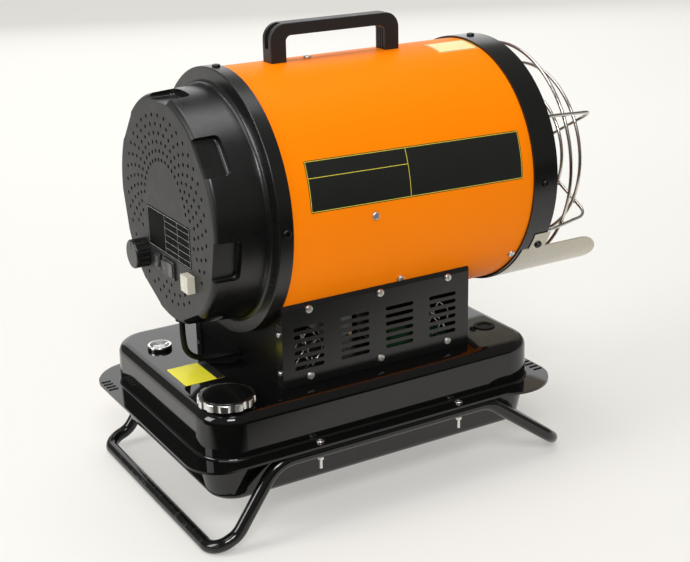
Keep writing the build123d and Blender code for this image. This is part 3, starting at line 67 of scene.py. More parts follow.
# Places on the guard, which the weld beads follow
BOW_ANGLES = (-27.0, 153.0, 29.5, 209.5)      # degrees about the drum's axis
BOW_SIDE_IN, BOW_SIDE_R = 52.15 * MM, 148.3 * MM
BOW_BAR_IN, HOOP_RADII = 8.85 * MM, (114.5 * MM, 78.0 * MM)
BOW_CROSS_IN = 4.45 * MM
BEAD_R = 2.9 * MM

# Lamps: name, place, width, height and power
SOFTBOXES = (("left softbox", (-3.1, 0.3, 1.9), 1.3, 1.9, 66.0),
             ("camera softbox", (-1.2, -2.5, 2.7), 1.2, 1.0, 62.0),
             ("top softbox", (-0.1, 0.1, 3.0), 2.6, 1.8, 44.0),
             ("back softbox", (1.3, 3.2, 1.5), 4.2, 2.2, 36.0))
LAMP_AIM = (0.0, 0.0, 0.3)
FLOOR_TURN = radians(-30.3)    # the floor's painted glow and painted dark reflection change towards the camera


# Sizes and colours that a user would change
def length(name, description, value):
    """A length property in metres."""
    return bpy.props.FloatProperty(name=name, description=description, default=value,
                                   subtype="DISTANCE", unit="LENGTH", precision=4)


def angle(name, description, degrees):
    """An angle property."""
    return bpy.props.FloatProperty(name=name, description=description,
                                   default=radians(degrees), subtype="ANGLE", unit="ROTATION")


def colour(name, description, value):
    """A linear colour property."""
    return bpy.props.FloatVectorProperty(name=name, description=description, default=value,
                                         subtype="COLOR", size=3, min=0.0, max=1.0)


class HeaterPaint(bpy.types.PropertyGroup):
    drum: colour("Drum", "Powder coat of the drum", (0.97, 0.228, 0.001))
    gloss_black: colour("Gloss black", "Paint of tank, legs and pedestal",
                        (0.0035, 0.0034, 0.0033))
    satin_black: colour("Satin black", "Moulded rear cover and front ring",
                        (0.0055, 0.0054, 0.0052))
    handle: colour("Handle", "Plastic of the carry handle", (0.016, 0.0155, 0.0155))
    stainless: colour("Stainless", "Wire guard", (0.66, 0.64, 0.60))
    sheet: colour("Sheet", "Heat deflector", (0.53, 0.50, 0.42))
    chrome: colour("Chrome", "Cap rim, bezel and screws", (0.88, 0.87, 0.84))
    label_yellow: colour("Label yellow", "Ground of the small labels", (0.88, 0.80, 0.03))
    label_cream: colour("Label cream", "Ground of the small top label", (0.90, 0.72, 0.32))
    line_yellow: colour("Line yellow", "Thin lines on the drum's label", (0.72, 0.62, 0.06))
    ivory: colour("Ivory", "Push button", (0.55, 0.53, 0.44))


class HeaterLabels(bpy.types.PropertyGroup):
    film: length("Film", "Thickness of a label", 0.22 * MM)
    corner: length("Corner", "Corner radius of a label", 2.0 * MM)
    drum_start: length("Drum label start", "From the rear cover's band to the drum's label",
                       25.0 * MM)
    drum_length: length("Drum label length", "Along the drum", 295.0 * MM)
    drum_low: angle("Drum label low edge", "Above the drum's side", 4.9)
    drum_high: angle("Drum label high edge", "Above the drum's side", 26.3)
    drum_turn: angle("Drum label turn", "The label is stuck on a little askew", -1.05)
    drum_split: length("Drum label divider", "From the label's rear edge to its divider",
                       133.0 * MM)
    top_end: length("Top label end", "From the front ring to the small top label", 1.0 * MM)
    top_length: length("Top label length", "Along the drum", 60.0 * MM)
    top_low: angle("Top label low edge", "Above the drum's side", 74.0)
    top_high: angle("Top label high edge", "Above the drum's side", 87.0)
    tank_length: length("Tank label length", "Across the tank's left end", 52.0 * MM)
    tank_width: length("Tank label width", "Along Y", 58.0 * MM)
    plate_width: length("Plate width", "Data plate on the rear face, along Y", 122.0 * MM)
    plate_height: length("Plate height", "Data plate on the rear face", 50.0 * MM)


class HeaterStudio(bpy.types.PropertyGroup):
    camera_at: bpy.props.FloatVectorProperty(
        name="Camera", description="Where the camera stands", subtype="XYZ", unit="LENGTH",
        default=(-0.8366, -1.3956, 0.8107))
    azimuth: angle("Azimuth", "Direction of the camera from the heater, from -Y towards +X",
                   -30.32)
    elevation: angle("Elevation", "Height of the camera's line above level", 19.668)
    roll: angle("Roll", "Turn of the camera about its own line", -1.242)
    lens: bpy.props.FloatProperty(name="Lens", description="Focal length in millimetres",
                                  default=69.31, subtype="NONE")
    backdrop: colour("Backdrop", "Floor and background", (0.93, 0.915, 0.875))
    light: bpy.props.FloatProperty(name="Light", description="Strength of the even light",
                                   default=0.2)
    glow: bpy.props.FloatProperty(name="Glow", default=0.5, min=0.0, max=1.0, description=(
        "Share of the floor's look that is even and takes no shadow"))


# Node trees written as arithmetic
class Wire:
    """A value in a material's node tree; arithmetic on it adds Math nodes."""

    def __init__(self, finish, socket):
        self.finish = finish
        self.socket = socket

    def math(self, operation, first, second=None):
        values = {0: first} if second is None else {0: first, 1: second}
        return self.finish.node("ShaderNodeMath", {"operation": operation}, values)

    def __add__(self, other):
        return self.math("ADD", self, other)

    def __radd__(self, other):
        return self.math("ADD", other, self)

    def __sub__(self, other):
        return self.math("SUBTRACT", self, other)

    def __rsub__(self, other):
        return self.math("SUBTRACT", other, self)

    def __mul__(self, other):
        return self.math("MULTIPLY", self, other)

    def __rmul__(self, other):
        return self.math("MULTIPLY", other, self)

    def __truediv__(self, other):
        return self.math("DIVIDE", self, other)

    def __abs__(self):
        return self.math("ABSOLUTE", self)

    def root(self):
        return self.math("SQRT", self)

    def sine(self):
        return self.math("SINE", self)

    def over(self, edge, soft):
        """0 below edge and 1 above it, with a soft step of the given width."""
        settings = {"interpolation_type": "SMOOTHSTEP"}
        values = {"Value": self, "From Min": edge - soft / 2, "From Max": edge + soft / 2}
        return self.finish.node("ShaderNodeMapRange", settings, values, "Result")

    def most(self, other):
        return self.math("MAXIMUM", self, other)


class Finish:
    """One material: a Principled shader, with nodes added by what a surface needs."""

    def __init__(self, name, **sockets):
        self.material = bpy.data.materials.new(name)
        self.material.use_nodes = True
        self.tree = self.material.node_tree
        self.shader = self.tree.nodes["Principled BSDF"]
        self.set(**{key.replace("_", " "): value for key, value in sockets.items()})

    def node(self, kind, settings=None, values=None, output=0):
        """Any node: its settings first, then the values or links of its sockets."""
        made = self.tree.nodes.new(kind)
        for key, value in (settings or {}).items():
            setattr(made, key, value)
        for key, value in (values or {}).items():
            self.feed(made.inputs[key], value)
        return Wire(self, made.outputs[output])

    def feed(self, socket, value):
        if isinstance(value, Wire):
            self.tree.links.new(value.socket, socket)
        elif isinstance(value, (tuple, list)) and socket.type == "RGBA" and len(value) == 3:
            socket.default_value = (*value, 1.0)
        else:
            socket.default_value = value

    def set(self, **sockets):
        for key, value in sockets.items():
            self.feed(self.shader.inputs[key], value)

    def place(self):
        """Object coordinates, in metres."""
        return self.node("ShaderNodeTexCoord", output="Object")

    def stretched(self, scale):
        """Object coordinates scaled apart along X, Y and Z."""
        return self.node("ShaderNodeMapping", None, {"Vector": self.place(), "Scale": scale},
                         "Vector")

    def along(self, axis):
        """One component of the place, in metres."""
        return self.node("ShaderNodeSeparateXYZ", None, {0: self.place()}, axis)

    def noise(self, scale, detail=3.0, vector=None, rough=0.5):
        """Noise from 0 to 1; scale is in features a metre."""
        values = {"Vector": vector or self.place(), "Scale": scale, "Detail": detail,
                  "Roughness": rough}
        return self.node("ShaderNodeTexNoise", None, values, "Fac")

    def cells(self, scale, vector=None):
        """Distance to the nearest of many scattered points."""
        values = {"Vector": vector or self.place(), "Scale": scale}
        return self.node("ShaderNodeTexVoronoi", None, values, "Distance")

    def mix(self, share, low, high):
        """A colour between low and high."""
        settings = {"data_type": "RGBA"}
        low = (*low, 1.0) if isinstance(low, (tuple, list)) and len(low) == 3 else low
        high = (*high, 1.0) if isinstance(high, (tuple, list)) and len(high) == 3 else high
        return self.node("ShaderNodeMix", settings, {0: share, 6: low, 7: high}, 2)

    def bump(self, height, depth, strength=1.0):
        """Bump of the given depth in metres, from a height of 0 to 1."""
        values = {"Height": height, "Distance": depth, "Strength": strength}
        self.set(Normal=self.node("ShaderNodeBump", None, values, "Normal"))


def shade(value, factor):
    """A colour made lighter or darker; the colour of a light may pass 1."""
    return tuple(channel * factor for channel in value)


# Finishes
def powder_coat(name, paint):
    """Satin powder coat: fine orange peel, faint clouding and soft patches in its sheen."""
    finish = Finish(name, Specular_IOR_Level=0.06)
    cloud = finish.noise(9.0, 2.0)
    finish.set(**{"Base Color": finish.mix(cloud, shade(paint, 0.965), shade(paint, 1.03)),
                  "Roughness": finish.noise(34.0, 4.0) * 0.08 + 0.4})
    finish.bump(finish.noise(620.0, 2.0), 0.05 * MM, 0.35)
    return finish.material


def gloss_paint(name, paint, rough=0.035, wear_height=0.0, sheen=0.5):
    """High gloss paint: soft orange peel, hazy patches, a little dust, scuffs near the floor."""
    finish = Finish(name, Specular_IOR_Level=sheen)
    haze = finish.noise(7.0, 4.0)
    dust = finish.noise(900.0, 2.0).over(0.74, 0.06) * finish.noise(16.0, 3.0).over(0.55, 0.2)
    base = finish.mix(dust * 0.25, paint, (0.16, 0.155, 0.145))
    roughness = haze * 0.05 + rough + dust * 0.1
    if wear_height:
        low = 1 - finish.along("Z").over(wear_height, wear_height)
        scuffs = finish.noise(120.0, 5.0, finish.stretched((0.35, 1.0, 1.0))).over(0.6, 0.08)
        wear = low * scuffs
        base = finish.mix(wear * 0.35, base, (0.10, 0.098, 0.095))
        roughness = roughness + wear * 0.3
    finish.set(**{"Base Color": base, "Roughness": roughness})
    finish.bump(finish.noise(150.0, 1.5), 0.05 * MM, 0.15)
    return finish.material


def moulded(name, plastic, rough, grain=900.0, depth=0.03):
    """Moulded plastic: fine spark grain, faint flow marks and rubbed patches."""
    finish = Finish(name, Specular_IOR_Level=0.5)
    flow = finish.noise(11.0, 3.0)
    rub = finish.noise(46.0, 4.0).over(0.6, 0.2)
    finish.set(**{"Base Color": finish.mix(flow, shade(plastic, 0.86), shade(plastic, 1.14)),
                  "Roughness": flow * 0.07 + rough - rub * 0.05})
    finish.bump(finish.noise(grain, 2.0) + finish.cells(grain * 0.7) * 0.6, depth * MM, 0.5)
    return finish.material


def two_zone_moulding(name, plastic, edge, soft):
    """Moulded plastic that is grained behind the plane X = edge and smooth in front of it; the
    grained part has a painted sheen, a base about twice as light.
    """
    finish = Finish(name, Specular_IOR_Level=0.5)
    side = finish.along("X").over(edge, soft)
    flow = finish.noise(11.0, 3.0)
    rub = finish.noise(46.0, 4.0).over(0.6, 0.2)
    grain = finish.noise(760.0, 2.0) + finish.cells(520.0) * 0.6
    # Painted sheen: the grained face gets a base about twice as light as the smooth side, for
    # the pale room it reflects
    low = finish.mix(flow, shade(plastic, 1.8), shade(plastic, 2.6))
    high = finish.mix(flow, shade(plastic, 0.8), shade(plastic, 1.1))
    finish.set(**{"Base Color": finish.mix(side, low, high),
                  "Roughness": (1 - side) * 0.17 + 0.27 + flow * 0.06 - rub * 0.04})
    finish.bump(grain * ((1 - side) * 0.9 + 0.1), 0.03 * MM, 0.5)
    return finish.material


def drawn_metal(name, metal, rough, streak, tint=None, tint_from=0.0, tint_to=1.0):
    """Bare metal with fine streaks across the given stretch, and a straw tint by X."""
    finish = Finish(name, Metallic=1.0)
    lines = finish.noise(1.0, 4.0, finish.stretched(streak), 0.6)
    clouds = finish.noise(26.0, 3.0)
    base = finish.mix(clouds, shade(metal, 0.90), shade(metal, 1.04))
    if tint:
        heat = finish.along("X").over((tint_from + tint_to) / 2, tint_to - tint_from)
        base = finish.mix(heat * (clouds * 0.5 + 0.3), base, tint)
    finish.set(**{"Base Color": base, "Roughness": lines * 0.16 + rough})
    finish.bump(lines, 0.02 * MM, 0.35)
    return finish.material


def plated(name, metal, rough=0.12):
    """Bright plating with faint pits and handling marks."""
    finish = Finish(name, Metallic=1.0)
    marks = finish.noise(90.0, 5.0)
    finish.set(**{"Base Color": finish.mix(marks, shade(metal, 0.82), metal),
                  "Roughness": marks * 0.14 + rough})
    finish.bump(finish.noise(420.0, 2.0), 0.02 * MM, 0.3)
    return finish.material


def cast_metal(name, metal, rough=0.45):
    """Cast or galvanized metal: coarse clouds and a pebbled skin."""
    finish = Finish(name, Metallic=1.0)
    spangle = finish.cells(120.0)
    finish.set(**{"Base Color": finish.mix(spangle, shade(metal, 0.8), shade(metal, 1.1)),
                  "Roughness": finish.noise(60.0) * 0.2 + rough})
    finish.bump(finish.noise(500.0, 3.0), 0.05 * MM, 0.4)
    return finish.material


def burnt_steel(name):
    """Stainless steel after many firings: straw, brown and blue bands from the middle out."""
    finish = Finish(name, Metallic=1.0)
    y = finish.along("Y")
    z = finish.along("Z") - AXIS_Z
    radius = (y * y + z * z).root()
    band = radius / DRUM_R + finish.noise(20.0, 4.0) * 0.18
    ramp = finish.tree.nodes.new("ShaderNodeValToRGB")
    stops = ((0.10, (0.20, 0.17, 0.15)), (0.42, (0.34, 0.22, 0.12)), (0.66, (0.50, 0.37, 0.22)),
             (0.86, (0.52, 0.48, 0.42)))
    elements = ramp.color_ramp.elements
    elements[0].position, elements[0].color = stops[0][0], (*stops[0][1], 1.0)
    elements[1].position, elements[1].color = stops[-1][0], (*stops[-1][1], 1.0)
    for position, tone in stops[1:-1]:
        elements.new(position).color = (*tone, 1.0)
    finish.feed(ramp.inputs["Fac"], band)
    finish.set(**{"Base Color": Wire(finish, ramp.outputs["Color"]),
                  "Roughness": finish.noise(40.0, 4.0) * 0.25 + 0.32})
    finish.bump(finish.noise(260.0, 4.0), 0.08 * MM, 0.4)
    return finish.material


def soft_rubber(name, tone=0.014):
    """Matt rubber with a faint bloom."""
    finish = Finish(name, Specular_IOR_Level=0.15)
    bloom = finish.noise(30.0, 5.0)
    finish.set(**{"Base Color": finish.mix(bloom, (tone, tone, tone),
                                           (tone * 2.2, tone * 2.2, tone * 2.1)),
                  "Roughness": bloom * 0.12 + 0.5})
    finish.bump(finish.noise(700.0, 3.0), 0.04 * MM, 0.4)
    return finish.material


def clear_lens(name):
    """Clear plastic lens."""
    finish = Finish(name, Transmission_Weight=1.0, IOR=1.49)
    finish.set(**{"Base Color": (0.96, 0.97, 0.96),
                  "Roughness": finish.noise(120.0, 4.0) * 0.05 + 0.02})
    return finish.material


def printed(name, ground, ink, size, lines, rough=0.34, sheen=0.5):
    """Printed film: a ground colour and thin ink lines, both by the label's own UV in metres.

    Each line is (axis, place, from, to, width): axis 0 is a line across U at that V.
    """
    finish = Finish(name, Specular_IOR_Level=sheen)
    chart = finish.node("ShaderNodeUVMap", {"uv_map": "film"})
    u = finish.node("ShaderNodeSeparateXYZ", None, {0: chart}, "X")
    v = finish.node("ShaderNodeSeparateXYZ", None, {0: chart}, "Y")
    mask = None
    soft = 0.15 * MM
    for axis, place, start, stop, line_width in lines:
        across, run = (v, u) if axis == 0 else (u, v)
        line = 1 - abs(across - place).over(line_width / 2, soft)
        line = line * run.over(start, soft) * (1 - run.over(stop, soft))
        mask = line if mask is None else mask.most(line)
    fade = finish.noise(60.0, 4.0)
    base = finish.mix(fade, shade(ground, 0.93), shade(ground, 1.05))
    if mask is not None:
        base = finish.mix(mask, base, ink)
    finish.set(**{"Base Color": base, "Roughness": fade * 0.08 + rough})
    finish.bump(finish.noise(300.0, 2.0), 0.02 * MM, 0.25)
    return finish.material


def local_box(node):
    """Lowest and highest corner of a CAD node in its own Object coordinates."""
    corners = np.array([corner[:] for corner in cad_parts[node].bound_box])
    return corners.min(0), corners.max(0)


def marked(name, plastic, node, marks, ink=(0.24, 0.235, 0.22)):
    """Moulded plastic with printed marks, placed by the node's own Y and Z.

    Each mark is (y, z, radius) for a ring and (y, z, half width, half height) for a bar.
    """
    finish = Finish(name, Specular_IOR_Level=0.5)
    y, z = finish.along("Y"), finish.along("Z")
    soft = 0.15 * MM
    print_mask = None
    for mark in marks:
        dy, dz = y - mark[0], z - mark[1]
        if len(mark) == 3:
            distance = (dy * dy + dz * dz).root()
            shape = 1 - abs(distance - mark[2]).over(0.2 * MM, soft)
        else:
            shape = (1 - abs(dy).over(mark[2], soft)) * (1 - abs(dz).over(mark[3], soft))
        print_mask = shape if print_mask is None else print_mask.most(shape)
    front = 1 - finish.along("X").over(local_box(node)[0][0] + 4 * MM, 0.5 * MM)
    flow = finish.noise(40.0, 3.0)
    base = finish.mix(flow, shade(plastic, 0.85), shade(plastic, 1.15))
    finish.set(**{"Base Color": finish.mix(print_mask * front, base, ink),
                  "Roughness": flow * 0.08 + 0.24})
    finish.bump(finish.noise(900.0, 2.0), 0.02 * MM, 0.4)
    return finish.material


def dial_print(name, centre):
    """A pale gauge dial with ticks over the pointer's sweep, by angle about its centre."""
    finish = Finish(name, Specular_IOR_Level=0.5)
    dx, dy = finish.along("X") - centre[0], finish.along("Y") - centre[1]
    distance = (dx * dx + dy * dy).root()
    turn = dy.math("ARCTAN2", dy, dx)
    tick = 1 - abs((turn * 12.0).sine()).over(0.22, 0.1)
    band = distance.over(7.6 * MM, 0.2 * MM) * (1 - distance.over(10.2 * MM, 0.2 * MM))
    sweep = 1 - abs(turn - radians(30.0)).over(radians(38.0), 0.02)
    fade = finish.noise(150.0, 3.0)
    ground = finish.mix(fade, (0.60, 0.59, 0.55), (0.70, 0.69, 0.65))
    finish.set(**{"Base Color": finish.mix(tick * band * sweep, ground, (0.02, 0.02, 0.02)),
                  "Roughness": fade * 0.1 + 0.3})
    finish.bump(fade, 0.01 * MM, 0.2)
    return finish.material


def border_lines(size, inset, width):
    """Four lines that run round a label, inset from its edge."""
    w, h = size
    return [(0, inset, inset, w - inset, width), (0, h - inset, inset, w - inset, width),
            (1, inset, inset, h - inset, width), (1, w - inset, inset, h - inset, width)]


# Surfaces
def grid_quads(points, closed_u, closed_v):
    """Corner numbers of the quads of an (m, n, 3) grid, joined up where it is closed."""
    m, n = points.shape[:2]
    rows = np.arange(m if closed_u else m - 1)
    cols = np.arange(n if closed_v else n - 1)
    i, j = np.meshgrid(rows, cols, indexing="ij")
    i2, j2 = (i + 1) % m, (j + 1) % n
    return np.stack([i * n + j, i2 * n + j, i2 * n + j2, i * n + j2], -1).reshape(-1, 4)


def mesh_from_grid(name, points, closed_u=False, closed_v=False, uv=None):
    """A smooth quad mesh over an (m, n, 3) grid of points."""
    quads = grid_quads(points, closed_u, closed_v)
    mesh = bpy.data.meshes.new(name)
    mesh.from_pydata(points.reshape(-1, 3).tolist(), [], quads.tolist())
    if uv is not None:
        layer = mesh.uv_layers.new(name="film")
        corners = uv.reshape(-1, 2)[quads.reshape(-1)]
        layer.data.foreach_set("uv", corners.astype(np.float32).ravel())
    mesh.polygons.foreach_set("use_smooth", np.ones(len(mesh.polygons), bool))
    mesh.update()
    return mesh


def piece(mesh, material, body):
    """A finished piece at the origin that rides on a body."""
    made = bpy.data.objects.new(mesh.name, mesh)
    bpy.context.scene.collection.objects.link(made)
    made.data.materials.clear()
    made.data.materials.append(material)
    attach(made, body)
    return made


def joined(name, grids):
    """Several closed grids as one mesh."""
    corners, quads, offset = [], [], 0
    for points, closed_u, closed_v in grids:
        quads.append(grid_quads(points, closed_u, closed_v) + offset)
        corners.append(points.reshape(-1, 3))
        offset += points.shape[0] * points.shape[1]
    mesh = bpy.data.meshes.new(name)
    mesh.from_pydata(np.concatenate(corners).tolist(), [], np.concatenate(quads).tolist())
    mesh.polygons.foreach_set("use_smooth", np.ones(len(mesh.polygons), bool))
    mesh.update()
    return mesh


def rounded_sheet(name, width, height, corner, film, place):
    """A label: rows across a rectangle, drawn in near its top and bottom by the corner arcs.

    A row at distance d from the nearer edge is shorter at each end by
    corner - sqrt(corner^2 - (corner - d)^2). place(u, v, lift) bends the flat sheet into space.
    """
    turn = np.linspace(0, np.pi / 2, 7)
    near = corner * (1 - np.cos(turn))
    middle = np.linspace(corner, height - corner, 26)[1:-1]
    v = np.concatenate([near, middle, (height - near)[::-1]])
    d = np.minimum(np.minimum(v, height - v), corner)
    inset = corner - np.sqrt(corner ** 2 - (corner - d) ** 2)
    s = np.linspace(0, 1, 49)
    u = inset[:, None] + s[None, :] * (width - 2 * inset[:, None])
    vv = np.repeat(v[:, None], len(s), 1)
    uv = np.stack([u, vv], -1)
    front = place(u, vv, film)
    back = place(u, vv, 0 * film)
    mesh = mesh_from_grid(name, front, uv=uv)
    rims = [np.concatenate([sheet[:, -1], sheet[-1, ::-1], sheet[::-1, 0], sheet[0]])
            for sheet in (back, front)]
    skirt = mesh_from_grid(name + "_edge", np.stack(rims, 0), closed_v=True)
    return mesh, skirt


def label_piece(name, width, height, corner, film, place, material, slot):
    """Front and edge of a label as one piece."""
    front, edge = rounded_sheet(name, width, height, corner, film, place)
    made = piece(front, material, "heater")
    rim = piece(edge, material, "heater")
    rim.parent = made
    return made


def turned(profile, centre, axis, steps=40):
    """A profile of (radius, height) pairs turned about an axis through centre."""
    axis = Vector(axis).normalized()
    side = axis.orthogonal().normalized()
    other = axis.cross(side)
    basis = np.array([side, other, axis])
    profile = np.asarray(profile, float)
    phi = np.linspace(0, 2 * np.pi, steps, endpoint=False)
    r, h = profile[:, 0][:, None], profile[:, 1][:, None]
    local = np.stack([r * np.cos(phi), r * np.sin(phi), h + 0 * phi], -1)
    return local @ basis + np.array(centre)


def close_poles(mesh):
    """Merges the points that a pole or a seam repeats, and turns the faces outward."""
    made = bmesh.new()
    made.from_mesh(mesh)
    bmesh.ops.remove_doubles(made, verts=made.verts, dist=1e-7)
    bmesh.ops.recalc_face_normals(made, faces=made.faces)
    made.to_mesh(mesh)
    made.free()
    return mesh


def bead(centre, size, twist):
    """A weld bead: a ball whose radius is 1 + 0.14 sin(3u + twist) sin(v)^2 times its size."""
    u = np.linspace(0, 2 * np.pi, 18, endpoint=False)[:, None]
    v = np.linspace(0, np.pi, 10)[None, :]
    r = size * (1 + 0.14 * np.sin(3 * u + twist) * np.sin(v) ** 2)
    ball = np.stack([r * np.sin(v) * np.cos(u), r * np.sin(v) * np.sin(u),
                     r * np.cos(v) + 0 * u], -1)
    return ball + np.array(centre)


def wire_tube(path, radius, sides=10):
    """A round wire along a path: rings across the path, closed to a point at its ends."""
    ahead = np.gradient(path, axis=0)
    ahead = ahead / np.linalg.norm(ahead, axis=1, keepdims=True)
    side = np.cross(ahead, (0.0, 1.0, 0.0))
    side = side / np.linalg.norm(side, axis=1, keepdims=True)
    up = np.cross(side, ahead)
    phi = np.linspace(0, 2 * np.pi, sides, endpoint=False)
    r = np.full(len(path), radius)
    r[[0, -1]] = 0.0
    ring = np.cos(phi)[None, :, None] * side[:, None] + np.sin(phi)[None, :, None] * up[:, None]
    return path[:, None] + r[:, None, None] * ring


def on_drum(x, phi, r):
    """Points on a cylinder about the drum's axis; phi is 0 at the -Y side and 90 on top."""
    return np.stack(np.broadcast_arrays(x, -r * np.cos(phi), AXIS_Z + r * np.sin(phi)), -1)


class HeaterOperator:
    """What every operator of the heater shares."""
    bl_options = {"REGISTER"}

    @property
    def paint(self):
        return bpy.context.scene.heater_paint

    @property
    def labels(self):
        return bpy.context.scene.heater_labels

    @property
    def studio(self):
        return bpy.context.scene.heater_studio


def dress(material, *nodes):
    """Gives CAD nodes a material."""
    for name in nodes:
        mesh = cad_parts[name].data
        mesh.materials.clear()
        mesh.materials.append(material)


class HEATER_OT_drum(HeaterOperator, bpy.types.Operator):
    """Finish the drum, its rear cover and front ring, handle and screws"""
    bl_idname = "heater.drum"
    bl_label = "Drum"

    def execute(self, context):
        paint = self.paint
        dress(powder_coat("orange powder coat", tuple(paint.drum)), "drum_shell")
        dress(two_zone_moulding("satin black moulding", tuple(paint.satin_black),
                                FACE_X + 3 * MM, 3 * MM), "rear_cover")
        dress(gloss_paint("satin black band", tuple(paint.satin_black), 0.2), "front_ring")
        dress(moulded("handle plastic", tuple(paint.handle), 0.42, 700.0, 0.05),
              "carry_handle")
        dress(plated("black oxide", (0.05, 0.05, 0.05), 0.3), "ring_screws", "handle_screws")
        dress(plated("bright zinc", tuple(paint.chrome), 0.27), "cover_screws",
              "flange_bolts", "flange_nuts")
        dress(plated("bright drum screws", tuple(paint.chrome), 0.36), "drum_screws")
        return {"FINISHED"}


class HEATER_OT_outlet(HeaterOperator, bpy.types.Operator):
    """Finish the wire guard, the deflector and what glows behind them"""
    bl_idname = "heater.outlet"
    bl_label = "Outlet"

    def execute(self, context):
        steel = tuple(self.paint.stainless)
        straw = (0.60, 0.47, 0.27)
        dress(drawn_metal("guard wire", steel, 0.14, (300.0, 300.0, 300.0)), "guard_bows",
              "guard_hoops")
        sheet = tuple(self.paint.sheet)
        dress(drawn_metal("deflector sheet", sheet, 0.2, (25.0, 900.0, 900.0), straw,
                          RING_HIGH.x, RING_HIGH.x + 0.25), "heat_deflector")
        dress(burnt_steel("burnt steel"), "radiant_disc", "combustion_chamber")
        dress(cast_metal("galvanized sheet", (0.55, 0.56, 0.57), 0.35), "heat_shield",
              "shield_brackets", "motor_bracket", "filler_neck", "thermostat_body")
        return {"FINISHED"}


class HEATER_OT_tank(HeaterOperator, bpy.types.Operator):
    """Finish the tank, legs and pedestal"""
    bl_idname = "heater.tank"
    bl_label = "Tank, legs and pedestal"

    def execute(self, context):
        paint = self.paint
        black = tuple(paint.gloss_black)
        dress(gloss_paint("tank paint", black), "tank_upper_shell", "tank_lower_shell")
        dress(gloss_paint("pedestal paint", shade(black, 2.2), 0.17), "near_side_cover",
              "far_side_cover")
        dress(gloss_paint("pedestal inner paint", black, 0.3, sheen=0.2), "pedestal_base")
        dress(gloss_paint("leg paint", black, 0.1, 14 * MM), "leg_frame")
        dress(plated("cap chrome", tuple(paint.chrome), 0.17), "fuel_cap_rim", "gauge_bezel")
        dress(gloss_paint("cap lacquer", shade(black, 1.3), 0.09), "fuel_cap_disc",
              "gauge_body")
        dress(moulded("cap plastic", (0.012, 0.012, 0.012), 0.2), "cap_insert")
        dress(clear_lens("gauge lens"), "gauge_lens")
        dress(moulded("pointer red", (0.5, 0.02, 0.01), 0.35), "gauge_pointer")
        dress(moulded("nylon", (0.62, 0.58, 0.48), 0.45), "float_arm", "filler_strainer")
        dress(soft_rubber("tank rubber", 0.004), "tank_plug", "cap_gasket", "control_lead",
              "lead_grommets", "fuel_hose", "air_hose")
        dress(cast_metal("brass", (0.62, 0.45, 0.18), 0.25), "fuel_pickup", "fuel_nozzle")
        return {"FINISHED"}


class HEATER_OT_works(HeaterOperator, bpy.types.Operator):
    """Finish the motor, pump, burner and boxes inside"""
    bl_idname = "heater.works"
    bl_label = "Works"

    def execute(self, context):
        dress(cast_metal("cast aluminium", (0.60, 0.61, 0.62)), "pump_housing", "burner_head",
              "cooling_fan")
        dress(drawn_metal("turned steel", (0.50, 0.50, 0.50), 0.2, (900.0, 60.0, 60.0)),
              "motor_shaft", "pump_rotor")
        dress(gloss_paint("motor paint", (0.03, 0.033, 0.036)), "motor_body")
        dress(moulded("potted case", (0.02, 0.02, 0.022), 0.5), "ignition_transformer",
              "pump_cover")
        dress(moulded("circuit board", (0.02, 0.10, 0.04), 0.35), "control_board")
        dress(moulded("ceramic", (0.72, 0.70, 0.64), 0.2), "ignition_electrodes")
        return {"FINISHED"}


class HEATER_OT_controls(HeaterOperator, bpy.types.Operator):
    """Finish the knob, rockers and button, and mark the rockers"""
    bl_idname = "heater.controls"
    bl_label = "Controls"

    def execute(self, context):
        low, high = local_box("thermostat_knob")
        middle = (low + high) / 2
        line = (middle[1], high[2] - 6.5 * MM, 0.55 * MM, 4.0 * MM)
        dress(marked("knob plastic", (0.008, 0.008, 0.008), "thermostat_knob", [line]),
              "thermostat_knob")
        low, high = local_box("small_rocker_paddle")
        middle, reach = (low + high) / 2, (high[2] - low[2]) * 0.27
        marks = [(middle[1], middle[2] + reach, 0.25 * MM, 1.2 * MM),
                 (middle[1], middle[2] - reach, 1.1 * MM)]
        dress(marked("small rocker plastic", (0.05, 0.049, 0.045), "small_rocker_paddle", marks),
              "small_rocker_paddle")
        low, high = local_box("large_rocker_paddle")
        middle, reach = (low + high) / 2, (high[1] - low[1]) * 0.27
        marks = [(middle[1] + reach, middle[2], 0.3 * MM, 1.7 * MM),
                 (middle[1] - reach, middle[2], 1.5 * MM)]
        dress(marked("large rocker plastic", (0.05, 0.049, 0.045), "large_rocker_paddle", marks),
              "large_rocker_paddle")
        dress(moulded("switch frame plastic", (0.014, 0.014, 0.014), 0.35),
              "small_rocker_frame", "large_rocker_frame", "reset_housing")
        dress(moulded("ivory plastic", tuple(self.paint.ivory), 0.25), "reset_button")
        return {"FINISHED"}


class HEATER_OT_guard_welds(HeaterOperator, bpy.types.Operator):
    """Make the weld beads where the guard's wires cross"""
    bl_idname = "heater.guard_welds"
    bl_label = "Guard welds"

    def execute(self, context):
        bows = [radians(a) for a in BOW_ANGLES]
        spots = [(GUARD_HIGH.x - BOW_SIDE_IN, a, BOW_SIDE_R) for a in bows]
        spots += [(GUARD_HIGH.x - BOW_BAR_IN, a, r) for a in bows[:2] for r in HOOP_RADII]
        spots.append((GUARD_HIGH.x - BOW_CROSS_IN, 0.0, 0.0))
        beads = [(bead(on_drum(x, a, r), BEAD_R, 1.7 * i), True, False)
                 for i, (x, a, r) in enumerate(spots)]
        weld = drawn_metal("weld metal", (0.42, 0.38, 0.33), 0.3, (300.0, 300.0, 300.0))
        piece(close_poles(joined("guard_weld_beads", beads)), weld, "heater")
        return {"FINISHED"}


